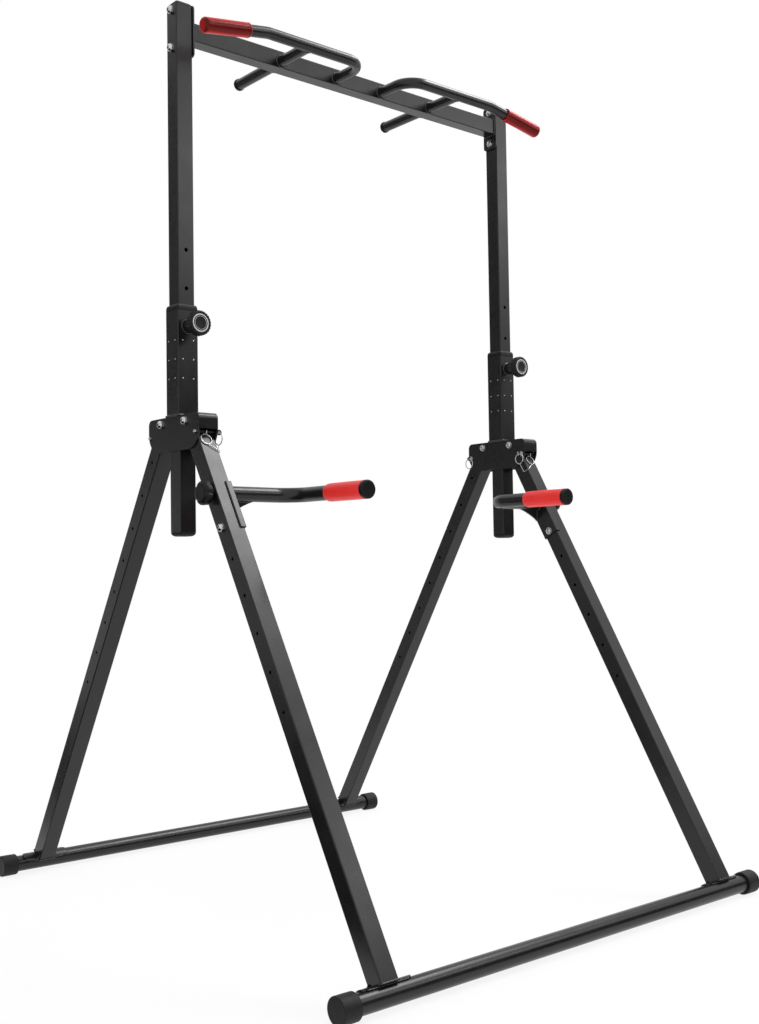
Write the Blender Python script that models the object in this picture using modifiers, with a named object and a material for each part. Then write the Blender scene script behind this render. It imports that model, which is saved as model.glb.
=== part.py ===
# Folding pull-up and dip tower with two A-frames, a height-adjustable mast and a multi-grip bar.
# Metres. X runs along the crossbar, -Y is the front where the dip handles point, +Z is up.
# The origin lies on the floor under the middle of the tower.

import math

import bmesh
import bpy
from mathutils import Matrix, Vector

GAP = 0.0003
SLIDE_CLEARANCE = 0.0005
BOLT_CLEARANCE = 0.0003
BORE_SIDES = 8
TAIL_CORNER = 0.002
OVERRUN = 0.010

POST_X = 0.493
PIVOT_Y = 0.0485
PIVOT_Z = 1.070
FRONT_FOOT_Y = 0.650
REAR_FOOT_Y = 0.6945

POST_WIDTH = 0.040
POST_WALL = 0.002
POST_CORNER = 0.0025
POST_LENGTH = 1.154
POST_BOTTOM = 0.827
PLUG_RADIUS = 0.009
PLUG_TAIL = 0.018
CAP_DOME = 0.009
CAP_TAIL = 0.004

SLEEVE_WIDTH = 0.050
SLEEVE_WALL = 0.0025
SLEEVE_LENGTH = 0.2265
LINER_LENGTH = 0.030
COLLAR_HEIGHT = 0.0135
COLLAR_STRAIGHT = 0.3

SHEET = 0.003
BRACKET_WIDTH = 0.047
BRACKET_HALF_LENGTH = 0.103
BRACKET_RISE = 0.014
BRACKET_HEIGHT = 0.075
BRACKET_TOP_RADIUS = 0.0125
BRACKET_FOOT_RADIUS = 0.0435
WEB_HEIGHT = 0.0345
FOLD_RADIUS = 0.004

PIVOT_BOLT_RADIUS = 0.005
BOLT_HEAD_RADIUS = 0.0095
BOLT_HEAD_HEIGHT = 0.010
NUT_HEIGHT = 0.0065
SOCKET_RADIUS = 0.0035
SOCKET_DEPTH = 0.0035

LOCK_Z = 1.2765
HOLE_PITCH = 0.0835
HOLE_RADIUS = 0.0045
HOLES_EACH_WAY = 2
PLUNGER_RADIUS = 0.004
BOSS_RADIUS = 0.0165
BOSS_LENGTH = 0.033
KNOB_RADIUS = 0.027
KNOB_LENGTH = 0.019
KNOB_EDGE = 0.005

LEG_WIDTH = 0.040
LEG_WALL = 0.002
LEG_NOSE = 0.0103
LEG_END = 0.018
FLOOR_TUBE_RADIUS = 0.019
FLOOR_TUBE_WALL = 0.002
FLOOR_OVERHANG = 0.112
FOOT_CAP_RADIUS = 0.0255
FOOT_CAP_LENGTH = 0.039
FOOT_CAP_WALL = 0.004
FOOT_CAP_EDGE = 0.002
FOOT_CAP_SIDES = 20
FOOT_PLATE_LENGTH = 0.1145
FOOT_PLATE_WRAP = 37
FOOT_PLATE_CORNER = 0.011

STOP_PIN_RADIUS = 0.004
STOP_PIN_DROP = 0.026
STOP_PIN_TIP = 0.006
PIN_COLLAR_RADIUS = 0.0065
PIN_COLLAR_LENGTH = 0.0025
EYE_RADIUS = 0.006
EYE_HOLE = 0.0022
EYE_THICKNESS = 0.004
RING_RADIUS = 0.013
RING_WIRE = 0.00125
RING_FACETS = 16

BAR_DROP = 0.052
BAR_HEIGHT = 0.040
BAR_DEPTH = 0.035
BAR_WALL = 0.002
BAR_CORNER = 0.002
END_PLATE_THICKNESS = 0.004
END_PLATE_WIDTH = 0.0455
END_PLATE_HEIGHT = 0.1145
END_PLATE_CORNER = 0.008
BAR_BOLT_SPACING = 0.0835

HANDLE_RADIUS = 0.0127
HANDLE_WALL = 0.002
HANDLE_RISE = -0.0045
HANDLE_INNER_X = 0.070
HANDLE_REACH = 0.122
HANDLE_BEND = 0.050
HANDLE_KINK_X = 0.344
HANDLE_KINK_BEND = 0.058
HANDLE_END_X = 0.5107
HANDLE_END_REACH = 0.127
HANDLE_END_DROP = 0.0306
GRIP_RADIUS = 0.0165
GRIP_LENGTH = 0.120
GRIP_END_WALL = 0.0035
GRIP_EDGE = 0.007
NEUTRAL_X = 0.232
NEUTRAL_REAR = 0.153
NEUTRAL_CAP_LENGTH = 0.009
NEUTRAL_CAP_WALL = 0.0015
NEUTRAL_CAP_EDGE = 0.004
NEUTRAL_CAP_PLUG = 0.015

DIP_Z = 0.912
DIP_X = 0.3017
DIP_REACH = 0.2425
DIP_BEND = 0.053
DIP_RADIUS = 0.016
DIP_WALL = 0.0018
DIP_GRIP_RADIUS = 0.0195
DIP_GRIP_LENGTH = 0.119
DIP_CAP_LENGTH = 0.009
DIP_CAP_PLUG = 0.020
SADDLE_ABOVE = 0.0165
SADDLE_BELOW = 0.094
SADDLE_FLANGE = 0.012
SADDLE_CORNER = 0.0025
GUSSET_LENGTH = 0.062
GUSSET_HEIGHT = 0.030
GUSSET_THICKNESS = 0.004
GUSSET_CURVE = 1.7
DIP_STUD_RADIUS = 0.005
DIP_KNOB_RADIUS = 0.0255
DIP_KNOB_LENGTH = 0.026
DIP_BOLT_BELOW = 0.083

STEEL_BLACK = ("powder_coat_black", (0.032, 0.032, 0.034), 0.42, 0.0)
PLASTIC_BLACK = ("plastic_black", (0.018, 0.018, 0.019), 0.5, 0.0)
RUBBER_BLACK = ("rubber_black", (0.022, 0.022, 0.023), 0.7, 0.0)
CHROME = ("chrome", (0.75, 0.75, 0.76), 0.18, 1.0)
FOAM_RED = ("grip_dark_red", (0.32, 0.015, 0.015), 0.35, 0.0)
GRIP_RED = ("grip_red", (0.72, 0.035, 0.035), 0.4, 0.0)

bracketTop = PIVOT_Z + BRACKET_RISE
bracketBottom = bracketTop - BRACKET_HEIGHT
plateOuter = POST_X + BRACKET_WIDTH / 2
plateInner = POST_X - BRACKET_WIDTH / 2
postTop = POST_BOTTOM + POST_LENGTH
sleeveBottom = bracketTop + GAP
sleeveTop = sleeveBottom + SLEEVE_LENGTH
footZ = FOOT_CAP_RADIUS * math.cos(math.pi / FOOT_CAP_SIDES)
floorHalfLength = POST_X + FLOOR_OVERHANG
stopPinZ = PIVOT_Z - STOP_PIN_DROP
mastY = (FRONT_FOOT_Y - REAR_FOOT_Y) / 2
barZ = postTop - BAR_DROP
endPlateOuter = POST_X - POST_WIDTH / 2 - GAP
barHalf = endPlateOuter - END_PLATE_THICKNESS
handleZ = barZ + HANDLE_RISE
legInner = POST_X - LEG_WIDTH / 2
legOuter = POST_X + LEG_WIDTH / 2


def spread(name, foot_y, flip):
    # An A-frame's own sizes: how far its foot stands out, its lean and where its stop pins stand.
    run = foot_y - PIVOT_Y
    rise = PIVOT_Z - footZ
    lean = math.atan2(run, rise)
    across = LEG_WIDTH / 2 + GAP + STOP_PIN_RADIUS
    pin_y = PIVOT_Y + STOP_PIN_DROP * math.tan(lean) + across / math.cos(lean)
    span = math.hypot(run, rise)
    return {"name": name, "foot": foot_y, "flip": flip, "span": span, "lean": lean, "pin": pin_y}


frontFrame = spread("front", FRONT_FOOT_Y, (1, 1, 1))
rearFrame = spread("rear", REAR_FOOT_Y, (1, -1, 1))
dipY = PIVOT_Y + (PIVOT_Z - DIP_Z) * math.tan(frontFrame["lean"])


def clear_scene():
    for item in list(bpy.data.objects):
        bpy.data.objects.remove(item, do_unlink=True)


def new_collection(name):
    group = bpy.data.collections.new(name)
    bpy.context.scene.collection.children.link(group)
    return group


def material(look):
    name, colour, roughness, metallic = look
    found = bpy.data.materials.get(name)
    if found:
        return found
    made = bpy.data.materials.new(name)
    made.use_nodes = True
    shader = made.node_tree.nodes["Principled BSDF"]
    shader.inputs["Base Color"].default_value = (*colour, 1.0)
    shader.inputs["Roughness"].default_value = roughness
    shader.inputs["Metallic"].default_value = metallic
    return made


clear_scene()
parts = new_collection("pull_up_tower")
cutters = new_collection("cutters")


def add_object(name, mesh, look=None):
    # A sub-part goes to the parts' collection, and a shape with no look is a cutter or a blank.
    made = bpy.data.objects.new(name, mesh)
    if look:
        parts.objects.link(made)
        mesh.materials.clear()
        mesh.materials.append(material(look))
    else:
        cutters.objects.link(made)
        made.hide_render = True
        made.display_type = "WIRE"
    return made


def evaluated_mesh(source):
    bpy.context.view_layer.update()
    graph = bpy.context.evaluated_depsgraph_get()
    return bpy.data.meshes.new_from_object(source.evaluated_get(graph), depsgraph=graph)


def tidy_mesh(mesh, matrix=None):
    # Weld loose caps, put the shape in its place and shade its round sides smooth.
    shape = bmesh.new()
    shape.from_mesh(mesh)
    bmesh.ops.remove_doubles(shape, verts=shape.verts, dist=0.00001)
    if matrix:
        bmesh.ops.transform(shape, matrix=matrix, verts=shape.verts)
    bmesh.ops.recalc_face_normals(shape, faces=shape.faces)
    shape.to_mesh(mesh)
    shape.free()
    mesh.shade_smooth()
    mesh.set_sharp_from_angle(angle=math.radians(35))
    return mesh


def from_curve(name, curve, matrix, look):
    maker = bpy.data.objects.new(name + "_curve", curve)
    cutters.objects.link(maker)
    mesh = evaluated_mesh(maker)
    bpy.data.objects.remove(maker, do_unlink=True)
    return add_object(name, tidy_mesh(mesh, matrix), look)


def plane_matrix(origin, x_axis, y_axis):
    x_axis = Vector(x_axis).normalized()
    y_axis = Vector(y_axis).normalized()
    z_axis = x_axis.cross(y_axis)
    turned_axes = Matrix((x_axis, y_axis, z_axis)).transposed().to_4x4()
    return Matrix.Translation(Vector(origin)) @ turned_axes


def outline(name, loops, thickness, matrix, look=None):
    # A flat shape with its holes, as thick as said, half to each side of its plane.
    curve = bpy.data.curves.new(name, "CURVE")
    curve.dimensions = "2D"
    curve.fill_mode = "BOTH"
    curve.extrude = thickness / 2
    for loop in loops:
        spline = curve.splines.new("POLY")
        spline.points.add(len(loop) - 1)
        for point, (across, along) in zip(spline.points, loop):
            point.co = (across, along, 0.0, 1.0)
        spline.use_cyclic_u = True
    return from_curve(name, curve, matrix, look)


def tube(name, path, radius, sides, look=None):
    # A round bar along the path. The number of sides is a multiple of two.
    curve = bpy.data.curves.new(name, "CURVE")
    curve.dimensions = "3D"
    curve.bevel_depth = radius
    curve.bevel_resolution = sides // 2 - 2
    curve.use_fill_caps = True
    spline = curve.splines.new("POLY")
    spline.points.add(len(path) - 1)
    for point, place in zip(spline.points, path):
        point.co = (*place, 1.0)
    return from_curve(name, curve, None, look)


def turned(name, profile, matrix, steps, look=None, closed=False):
    # The profile's points are (radius, height), from the top down its outer side.
    mesh = bpy.data.meshes.new(name)
    shape = bmesh.new()
    corners = [shape.verts.new((radius, 0.0, height)) for radius, height in profile]
    for first, second in zip(corners, corners[1:]):
        shape.edges.new((first, second))
    if closed:
        shape.edges.new((corners[-1], corners[0]))
    shape.to_mesh(mesh)
    shape.free()
    maker = bpy.data.objects.new(name + "_profile", mesh)
    cutters.objects.link(maker)
    screw = maker.modifiers.new("turn", "SCREW")
    screw.steps = steps
    screw.render_steps = steps
    screw.use_merge_vertices = True
    screw.merge_threshold = 0.00001
    made = evaluated_mesh(maker)
    bpy.data.objects.remove(maker, do_unlink=True)
    return add_object(name, tidy_mesh(made, matrix), look)


def boolean(target, other, operation):
    # EXACT left open edges where thin sheets and bores meet, so every step uses MANIFOLD.
    step = target.modifiers.new(operation.lower(), "BOOLEAN")
    step.operation = operation
    step.solver = "MANIFOLD"
    step.object = other
    return target


def cut(target, *others):
    for other in others:
        boolean(target, other, "DIFFERENCE")
    return target


def join(target, *others):
    for other in others:
        boolean(target, other, "UNION")
    return target


def copied(source, name, look, flip):
    # The finished shape under a new name. The signs of flip mirror it to another side.
    mesh = evaluated_mesh(source)
    shape = bmesh.new()
    shape.from_mesh(mesh)
    bmesh.ops.transform(shape, matrix=Matrix.Diagonal((*flip, 1.0)), verts=shape.verts)
    if flip[0] * flip[1] < 0:
        bmesh.ops.reverse_faces(shape, faces=shape.faces)
    bmesh.ops.remove_doubles(shape, verts=shape.verts, dist=0.000001)
    shape.to_mesh(mesh)
    shape.free()
    return add_object(name, mesh, look)


def arc(centre, radius, start, end, steps):
    # Points of a round corner, with the angles in degrees.
    found = []
    for index in range(steps + 1):
        angle = math.radians(start + (end - start) * index / steps)
        found.append((centre[0] + radius * math.cos(angle), centre[1] + radius * math.sin(angle)))
    return found


def circle(centre, radius, sides):
    return arc(centre, radius, 0, 360, sides)[:-1]


def facet_fit(radius, sides):
    # The corner radius of a faceted hole whose flats clear a round bar of the radius.
    return radius / math.cos(math.pi / sides)


def clear_hole(centre, radius, sides):
    return circle(centre, facet_fit(radius, sides), sides)


def rounded_box(width, height, radius, steps=2):
    across = width / 2 - radius
    along = height / 2 - radius
    found = []
    for index, (side_x, side_y) in enumerate(((1, 1), (-1, 1), (-1, -1), (1, -1))):
        found += arc((side_x * across, side_y * along), radius, 90 * index, 90 * index + 90, steps)
    return found


def rounded_path(corners, bends, steps):
    # A path through straight runs joined by arcs that touch both of their neighbours.
    corners = [Vector(corner) for corner in corners]
    path = [corners[0]]
    for before, corner, after, bend in zip(corners, corners[1:], corners[2:], bends):
        incoming = (before - corner).normalized()
        outgoing = (after - corner).normalized()
        half = incoming.angle(outgoing) / 2
        centre = corner + (incoming + outgoing).normalized() * bend / math.sin(half)
        start = corner + incoming * bend / math.tan(half) - centre
        sweep = math.pi - 2 * half
        turn_axis = start.cross(corner + outgoing * bend / math.tan(half) - centre)
        for index in range(steps + 1):
            turn = Matrix.Rotation(sweep * index / steps, 3, turn_axis)
            path.append(centre + turn @ start)
    path.append(corners[-1])
    return path


def along_x(start, end, centre_y, centre_z, radius, sides, name="hole"):
    # A cutter along X for a hole that clears a round bar of the radius.
    path = [(start, centre_y, centre_z), (end, centre_y, centre_z)]
    return tube(name, path, facet_fit(radius, sides), sides)


def x_matrix(place, outward):
    # Turned pieces stand on X: their height runs outward (+1) or inward (-1) from the place.
    if outward > 0:
        return plane_matrix(place, (0, 1, 0), (0, 0, 1))
    return plane_matrix(place, (0, 0, 1), (0, 1, 0))


def front_matrix(place):
    # Turned pieces whose height runs towards the front.
    return plane_matrix(place, (1, 0, 0), (0, 0, 1))


def square_tube(name, width, depth, wall, corner, bottom, top, look):
    inner = rounded_box(width - 2 * wall, depth - 2 * wall, corner / 2)
    middle = plane_matrix((POST_X, 0, (bottom + top) / 2), (1, 0, 0), (0, 1, 0))
    return outline(name, [rounded_box(width, depth, corner), inner], top - bottom, middle, look)


def stacked(name, sections, matrix, look):
    # A solid through rounded squares of unlike size: each section is (height, half width, radius).
    steps = 3
    shape = bmesh.new()
    rings = []
    for height, half, radius in sections:
        loop = rounded_box(2 * half, 2 * half, radius, steps)
        rings.append([shape.verts.new((across, along, height)) for across, along in loop])
    for lower, upper in zip(rings, rings[1:]):
        for index in range(len(lower)):
            after = (index + 1) % len(lower)
            shape.faces.new((lower[index], lower[after], upper[after], upper[index]))
    shape.faces.new(list(reversed(rings[0])))
    shape.faces.new(rings[-1])
    mesh = bpy.data.meshes.new(name)
    shape.to_mesh(mesh)
    shape.free()
    return add_object(name, tidy_mesh(mesh, matrix), look)


def through_bolt(name, y, z, grip_start, grip_end, head_radius, look):
    # A dome-headed socket bolt along X: head outside grip_end, domed nut inside grip_start.
    head_base = grip_end + GAP
    nut_base = grip_start - GAP
    profile = [(0.0, BOLT_HEAD_HEIGHT)]
    for step in range(1, 4):
        angle = math.radians(28 * step)
        profile.append((head_radius * math.sin(angle), BOLT_HEAD_HEIGHT * (0.35 + 0.65 * math.cos(angle))))
    profile.append((head_radius, 0.0))
    shank_end = nut_base - head_base
    profile += [(PIVOT_BOLT_RADIUS, 0.0), (PIVOT_BOLT_RADIUS, shank_end)]
    nut_radius = head_radius * 0.92
    profile += [(nut_radius, shank_end), (nut_radius, shank_end - NUT_HEIGHT * 0.55)]
    profile += [(nut_radius * 0.62, shank_end - NUT_HEIGHT * 0.93), (0.0, shank_end - NUT_HEIGHT)]
    bolt = turned(name, profile, x_matrix((head_base, y, z), 1), 10, look)
    socket_floor = head_base + BOLT_HEAD_HEIGHT - SOCKET_DEPTH
    socket_end = head_base + BOLT_HEAD_HEIGHT + GAP
    middle = plane_matrix(((socket_floor + socket_end) / 2, y, z), (0, 1, 0), (0, 0, 1))
    socket = outline("socket", [circle((0, 0), SOCKET_RADIUS, 6)], socket_end - socket_floor, middle)
    return cut(bolt, socket)


def build_bracket():
    # A folded sheet tray, open below: the legs nest under it and the post passes through it.
    half = BRACKET_HALF_LENGTH
    top = BRACKET_TOP_RADIUS
    foot = BRACKET_FOOT_RADIUS
    web_bottom = bracketTop - WEB_HEIGHT
    side = arc((half - top, bracketTop - top), top, 0, 90, 2)
    side += arc((top - half, bracketTop - top), top, 90, 180, 2)
    side += arc((foot - half, bracketBottom + foot), foot, 180, 270, 4)
    side += arc((half - foot, bracketBottom + foot), foot, 270, 360, 4)
    holes = []
    for face in (-1, 1):
        holes.append(clear_hole((face * PIVOT_Y, PIVOT_Z), PIVOT_BOLT_RADIUS + BOLT_CLEARANCE, 10))
    for pin_y in (-frontFrame["pin"], rearFrame["pin"]):
        holes.append(clear_hole((pin_y, stopPinZ), STOP_PIN_RADIUS + BOLT_CLEARANCE, 8))
    middle = plane_matrix((POST_X, 0, 0), (0, 1, 0), (0, 0, 1))
    bracket = outline("hinge_bracket_right", [side, *holes], BRACKET_WIDTH, middle, STEEL_BLACK)
    fold = bracket.data.attributes.new("bevel_weight_edge", "FLOAT", "EDGE")
    for edge in bracket.data.edges:
        first, second = (bracket.data.vertices[index].co for index in edge.vertices)
        along_side = abs(first.x - second.x) < GAP
        at_end = max(abs(first.y), abs(second.y)) > half - GAP
        at_top = max(first.z, second.z) > bracketTop - top - GAP
        if along_side and (at_end or at_top) and min(first.z, second.z) > web_bottom - GAP:
            fold.data[edge.index].value = 1.0
    soften = bracket.modifiers.new("fold_radius", "BEVEL")
    soften.limit_method = "WEIGHT"
    soften.width = FOLD_RADIUS
    soften.segments = 1
    inside = BRACKET_WIDTH - 2 * SHEET
    under = bracketTop - SHEET
    low = bracketBottom - SHEET
    reach = half - SHEET
    bend = top - SHEET
    hollow = arc((reach - bend, under - bend), bend, 0, 90, 2)
    hollow += arc((bend - reach, under - bend), bend, 90, 180, 2)
    hollow += [(-reach, low), (reach, low)]
    past = half + SHEET
    below_web = [(-past, low), (past, low), (past, web_bottom), (-past, web_bottom)]
    cutter = outline("bracket_hollow", [hollow], inside, middle)
    lower = outline("bracket_mouth", [below_web], inside, middle)
    post_hole = POST_WIDTH + 2 * SLIDE_CLEARANCE
    loop = rounded_box(post_hole, post_hole, POST_CORNER)
    level = plane_matrix((POST_X, 0, under), (1, 0, 0), (0, 1, 0))
    passage = outline("post_passage", [loop], 4 * SHEET, level)
    cut(bracket, cutter, lower, passage)
    return bracket


def build_sleeve():
    # The guide that the post slides in, with the boss of its lock welded on.
    sleeve = square_tube("sleeve_right", SLEEVE_WIDTH, SLEEVE_WIDTH, SLEEVE_WALL, POST_CORNER,
                         sleeveBottom, sleeveTop, STEEL_BLACK)
    face = SLEEVE_WIDTH / 2
    profile = [(0.0, BOSS_LENGTH), (BOSS_RADIUS * 0.9, BOSS_LENGTH), (BOSS_RADIUS, BOSS_LENGTH * 0.92)]
    profile += [(BOSS_RADIUS * 0.86, 0.0), (BOSS_RADIUS * 0.86, -SLEEVE_WALL / 2), (0.0, -SLEEVE_WALL / 2)]
    boss = turned("lock_boss", profile, front_matrix((POST_X, -face, LOCK_Z)), 14)
    bore = PLUNGER_RADIUS + BOLT_CLEARANCE
    path = [(POST_X, -face - 2 * BOSS_LENGTH, LOCK_Z), (POST_X, 0, LOCK_Z)]
    return cut(join(sleeve, boss), tube("lock_bore", path, facet_fit(bore, 10), 10))


def build_bushing():
    # The plastic guide in the sleeve's mouth: a crowned collar over a thin liner.
    bottom = sleeveTop + GAP
    half = SLEEVE_WIDTH / 2
    liner = half - SLEEVE_WALL - GAP
    sections = [(-LINER_LENGTH, liner, TAIL_CORNER), (0.0, liner, TAIL_CORNER)]
    sections += [(0.0, half, POST_CORNER), (COLLAR_HEIGHT * COLLAR_STRAIGHT, half, POST_CORNER)]
    crown = half - POST_WIDTH / 2 - SLIDE_CLEARANCE - 0.001
    for step in range(1, 4):
        angle = math.radians(29 * step)
        inset = crown * (1 - math.cos(angle))
        height = COLLAR_HEIGHT * (COLLAR_STRAIGHT + (1 - COLLAR_STRAIGHT) * math.sin(angle))
        sections.append((height, half - inset, POST_CORNER))
    level = Matrix.Translation((POST_X, 0, bottom))
    bushing = stacked("sleeve_bushing_right", sections, level, PLASTIC_BLACK)
    bore = POST_WIDTH / 2 + GAP
    passage = [(-2 * LINER_LENGTH, bore, POST_CORNER), (2 * COLLAR_HEIGHT, bore, POST_CORNER)]
    return cut(bushing, stacked("bushing_bore", passage, level, None))


def build_post():
    top = postTop
    post = square_tube("post_right", POST_WIDTH, POST_WIDTH, POST_WALL, POST_CORNER,
                       POST_BOTTOM + PLUG_RADIUS + GAP, top, STEEL_BLACK)
    for step in range(-HOLES_EACH_WAY, HOLES_EACH_WAY + 1):
        height = LOCK_Z + step * HOLE_PITCH
        path = [(POST_X, -POST_WIDTH, height), (POST_X, 0, height)]
        cut(post, tube("lock_hole", path, HOLE_RADIUS, 8))
    for side in (-1, 1):
        height = barZ + side * BAR_BOLT_SPACING / 2
        radius = PIVOT_BOLT_RADIUS + BOLT_CLEARANCE
        cut(post, along_x(POST_X - POST_WIDTH, POST_X + POST_WIDTH, 0, height, radius, 10))
    return post


def build_post_cap():
    half = POST_WIDTH / 2
    tail = half - POST_WALL - GAP
    sections = [(-CAP_TAIL, tail, TAIL_CORNER), (0.0, tail, TAIL_CORNER), (0.0, half, POST_CORNER)]
    for step in range(1, 5):
        angle = math.radians(19 * step)
        sections.append((0.001 + CAP_DOME * math.sin(angle), half * math.cos(angle) ** 0.7, POST_CORNER))
    return stacked("post_cap_right", sections, Matrix.Translation((POST_X, 0, postTop + GAP)), PLASTIC_BLACK)


def build_post_plug():
    half = POST_WIDTH / 2
    tail = half - POST_WALL - GAP
    sections = []
    for step in range(0, 4):
        angle = math.radians(30 * step)
        inset = PLUG_RADIUS * (1 - math.sin(angle))
        sections.append((PLUG_RADIUS * (1 - math.cos(angle)), half - inset, POST_CORNER))
    sections += [(PLUG_RADIUS, tail, TAIL_CORNER), (PLUG_RADIUS + PLUG_TAIL, tail, TAIL_CORNER)]
    return stacked("post_plug_right", sections, Matrix.Translation((POST_X, 0, POST_BOTTOM)), PLASTIC_BLACK)


def build_crossbar():
    # The main bar with its bolting plates welded on. The side grips pass through it.
    across = plane_matrix((0, 0, barZ), (0, 1, 0), (0, 0, 1))
    inner = rounded_box(BAR_DEPTH - 2 * BAR_WALL, BAR_HEIGHT - 2 * BAR_WALL, BAR_CORNER / 2)
    bar = outline("crossbar", [rounded_box(BAR_DEPTH, BAR_HEIGHT, BAR_CORNER), inner], 2 * barHalf + GAP,
                  across, STEEL_BLACK)
    loop = rounded_box(END_PLATE_WIDTH, END_PLATE_HEIGHT, END_PLATE_CORNER)
    radius = PIVOT_BOLT_RADIUS + BOLT_CLEARANCE
    for side in (-1, 1):
        holes = [clear_hole((0, face * BAR_BOLT_SPACING / 2), radius, 10) for face in (-1, 1)]
        middle = side * (barHalf + END_PLATE_THICKNESS / 2)
        plate = outline("end_plate", [loop, *holes], END_PLATE_THICKNESS,
                        plane_matrix((middle, 0, barZ), (0, 1, 0), (0, 0, 1)))
        join(bar, plate)
    for side in (-1, 1):
        path = [(side * NEUTRAL_X, -BAR_DEPTH, handleZ), (side * NEUTRAL_X, BAR_DEPTH, handleZ)]
        cut(bar, tube("grip_passage", path, HANDLE_RADIUS + GAP, 12))
    return bar


def handle_corners():
    start = (HANDLE_INNER_X, -BAR_DEPTH / 2 - GAP, handleZ)
    forward = (HANDLE_INNER_X, -HANDLE_REACH, handleZ)
    kink = (HANDLE_KINK_X, -HANDLE_REACH, handleZ)
    end = (HANDLE_END_X, -HANDLE_END_REACH, handleZ - HANDLE_END_DROP)
    return [start, forward, kink, end]


def build_pull_handle():
    corners = handle_corners()
    bends = (HANDLE_BEND, HANDLE_KINK_BEND)
    path = rounded_path(corners, bends, 5)
    handle = tube("pull_handle_right", path, HANDLE_RADIUS, 12, STEEL_BLACK)
    direction = (Vector(corners[3]) - Vector(corners[2])).normalized()
    longer = [corners[0], corners[1], corners[2], Vector(corners[3]) + direction * OVERRUN]
    longer[0] = (HANDLE_INNER_X, 0, handleZ)
    bore = tube("pull_handle_bore", rounded_path(longer, bends, 5), HANDLE_RADIUS - HANDLE_WALL, BORE_SIDES)
    return cut(handle, bore)


def build_pull_grip():
    # A closed-end sleeve pushed over the handle's outer end.
    corners = [Vector(corner) for corner in handle_corners()]
    direction = (corners[3] - corners[2]).normalized()
    tip = corners[3] + direction * (GAP + GRIP_END_WALL)
    side = direction.cross(Vector((0, 0, 1))).normalized()
    place = plane_matrix(tip, side, direction.cross(side))
    profile = [(0.0, 0.0)]
    for step in range(0, 5):
        angle = math.radians(22.5 * step)
        radius = GRIP_RADIUS - GRIP_EDGE * (1 - math.sin(angle))
        profile.append((radius, -GRIP_EDGE * (1 - math.cos(angle))))
    mouth = GRIP_RADIUS - 0.002
    profile += [(GRIP_RADIUS, 0.003 - GRIP_LENGTH), (mouth, -GRIP_LENGTH)]
    bore = HANDLE_RADIUS + GAP
    profile += [(bore, -GRIP_LENGTH), (bore, -GRIP_END_WALL), (0.0, -GRIP_END_WALL)]
    return turned("pull_grip_right", profile, place, 16, FOAM_RED)


def build_neutral_bar():
    # A straight side grip from the front tube, through the crossbar, to a capped rear end.
    front = -HANDLE_REACH
    path = [(NEUTRAL_X, front, handleZ), (NEUTRAL_X, NEUTRAL_REAR, handleZ)]
    bar = tube("neutral_bar_right", path, HANDLE_RADIUS, 12, STEEL_BLACK)
    cope = [(NEUTRAL_X - 0.06, front, handleZ), (NEUTRAL_X + 0.06, front, handleZ)]
    cut(bar, tube("neutral_cope", cope, HANDLE_RADIUS + GAP, 12))
    bore = [(NEUTRAL_X, front - HANDLE_RADIUS, handleZ), (NEUTRAL_X, NEUTRAL_REAR + OVERRUN, handleZ)]
    return cut(bar, tube("neutral_bore", bore, HANDLE_RADIUS - HANDLE_WALL, BORE_SIDES))


def build_neutral_cap():
    rim = HANDLE_RADIUS + NEUTRAL_CAP_WALL
    tail = (HANDLE_RADIUS - HANDLE_WALL) * math.cos(math.pi / BORE_SIDES) - GAP
    length = NEUTRAL_CAP_LENGTH
    profile = [(0.0, length)]
    for step in range(0, 4):
        angle = math.radians(30 * step)
        inset = NEUTRAL_CAP_EDGE * (1 - math.sin(angle))
        profile.append((rim - inset, length - NEUTRAL_CAP_EDGE * (1 - math.cos(angle))))
    profile += [(rim, 0.0), (tail, 0.0), (tail, -NEUTRAL_CAP_PLUG), (0.0, -NEUTRAL_CAP_PLUG)]
    place = plane_matrix((NEUTRAL_X, NEUTRAL_REAR + GAP, handleZ), (0, 0, 1), (1, 0, 0))
    return turned("neutral_cap_right", profile, place, 12, PLASTIC_BLACK)


def leg_matrix(frame, distance):
    # A leg's own frame at a distance down from the pivot: x is world X, z runs up the leg.
    up = Vector((0, math.sin(frame["lean"]), math.cos(frame["lean"])))
    place = Vector((POST_X, -PIVOT_Y, PIVOT_Z)) - up * distance
    return plane_matrix(place, (1, 0, 0), up.cross(Vector((1, 0, 0))))


def build_foot_plate(frame):
    # The saddle of sheet that ties the leg to the floor tube, wrapped round the tube.
    inner = FLOOR_TUBE_RADIUS + GAP
    outer = inner + SHEET
    middle = 90 - math.degrees(frame["lean"])
    sheet = arc((0, 0), outer, middle - FOOT_PLATE_WRAP, middle + FOOT_PLATE_WRAP, 6)
    sheet += arc((0, 0), inner, middle + FOOT_PLATE_WRAP, middle - FOOT_PLATE_WRAP, 6)
    across = plane_matrix((POST_X, -frame["foot"], footZ), (0, 1, 0), (0, 0, 1))
    plate = outline("foot_plate", [sheet], FOOT_PLATE_LENGTH + 2 * GAP, across)
    width = 2 * outer * math.sin(math.radians(FOOT_PLATE_WRAP)) + GAP
    loop = rounded_box(FOOT_PLATE_LENGTH, width, FOOT_PLATE_CORNER, 4)
    shape = outline("foot_plate_shape", [loop], 2 * outer, leg_matrix(frame, frame["span"] - outer))
    return boolean(plate, shape, "INTERSECT")


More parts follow.
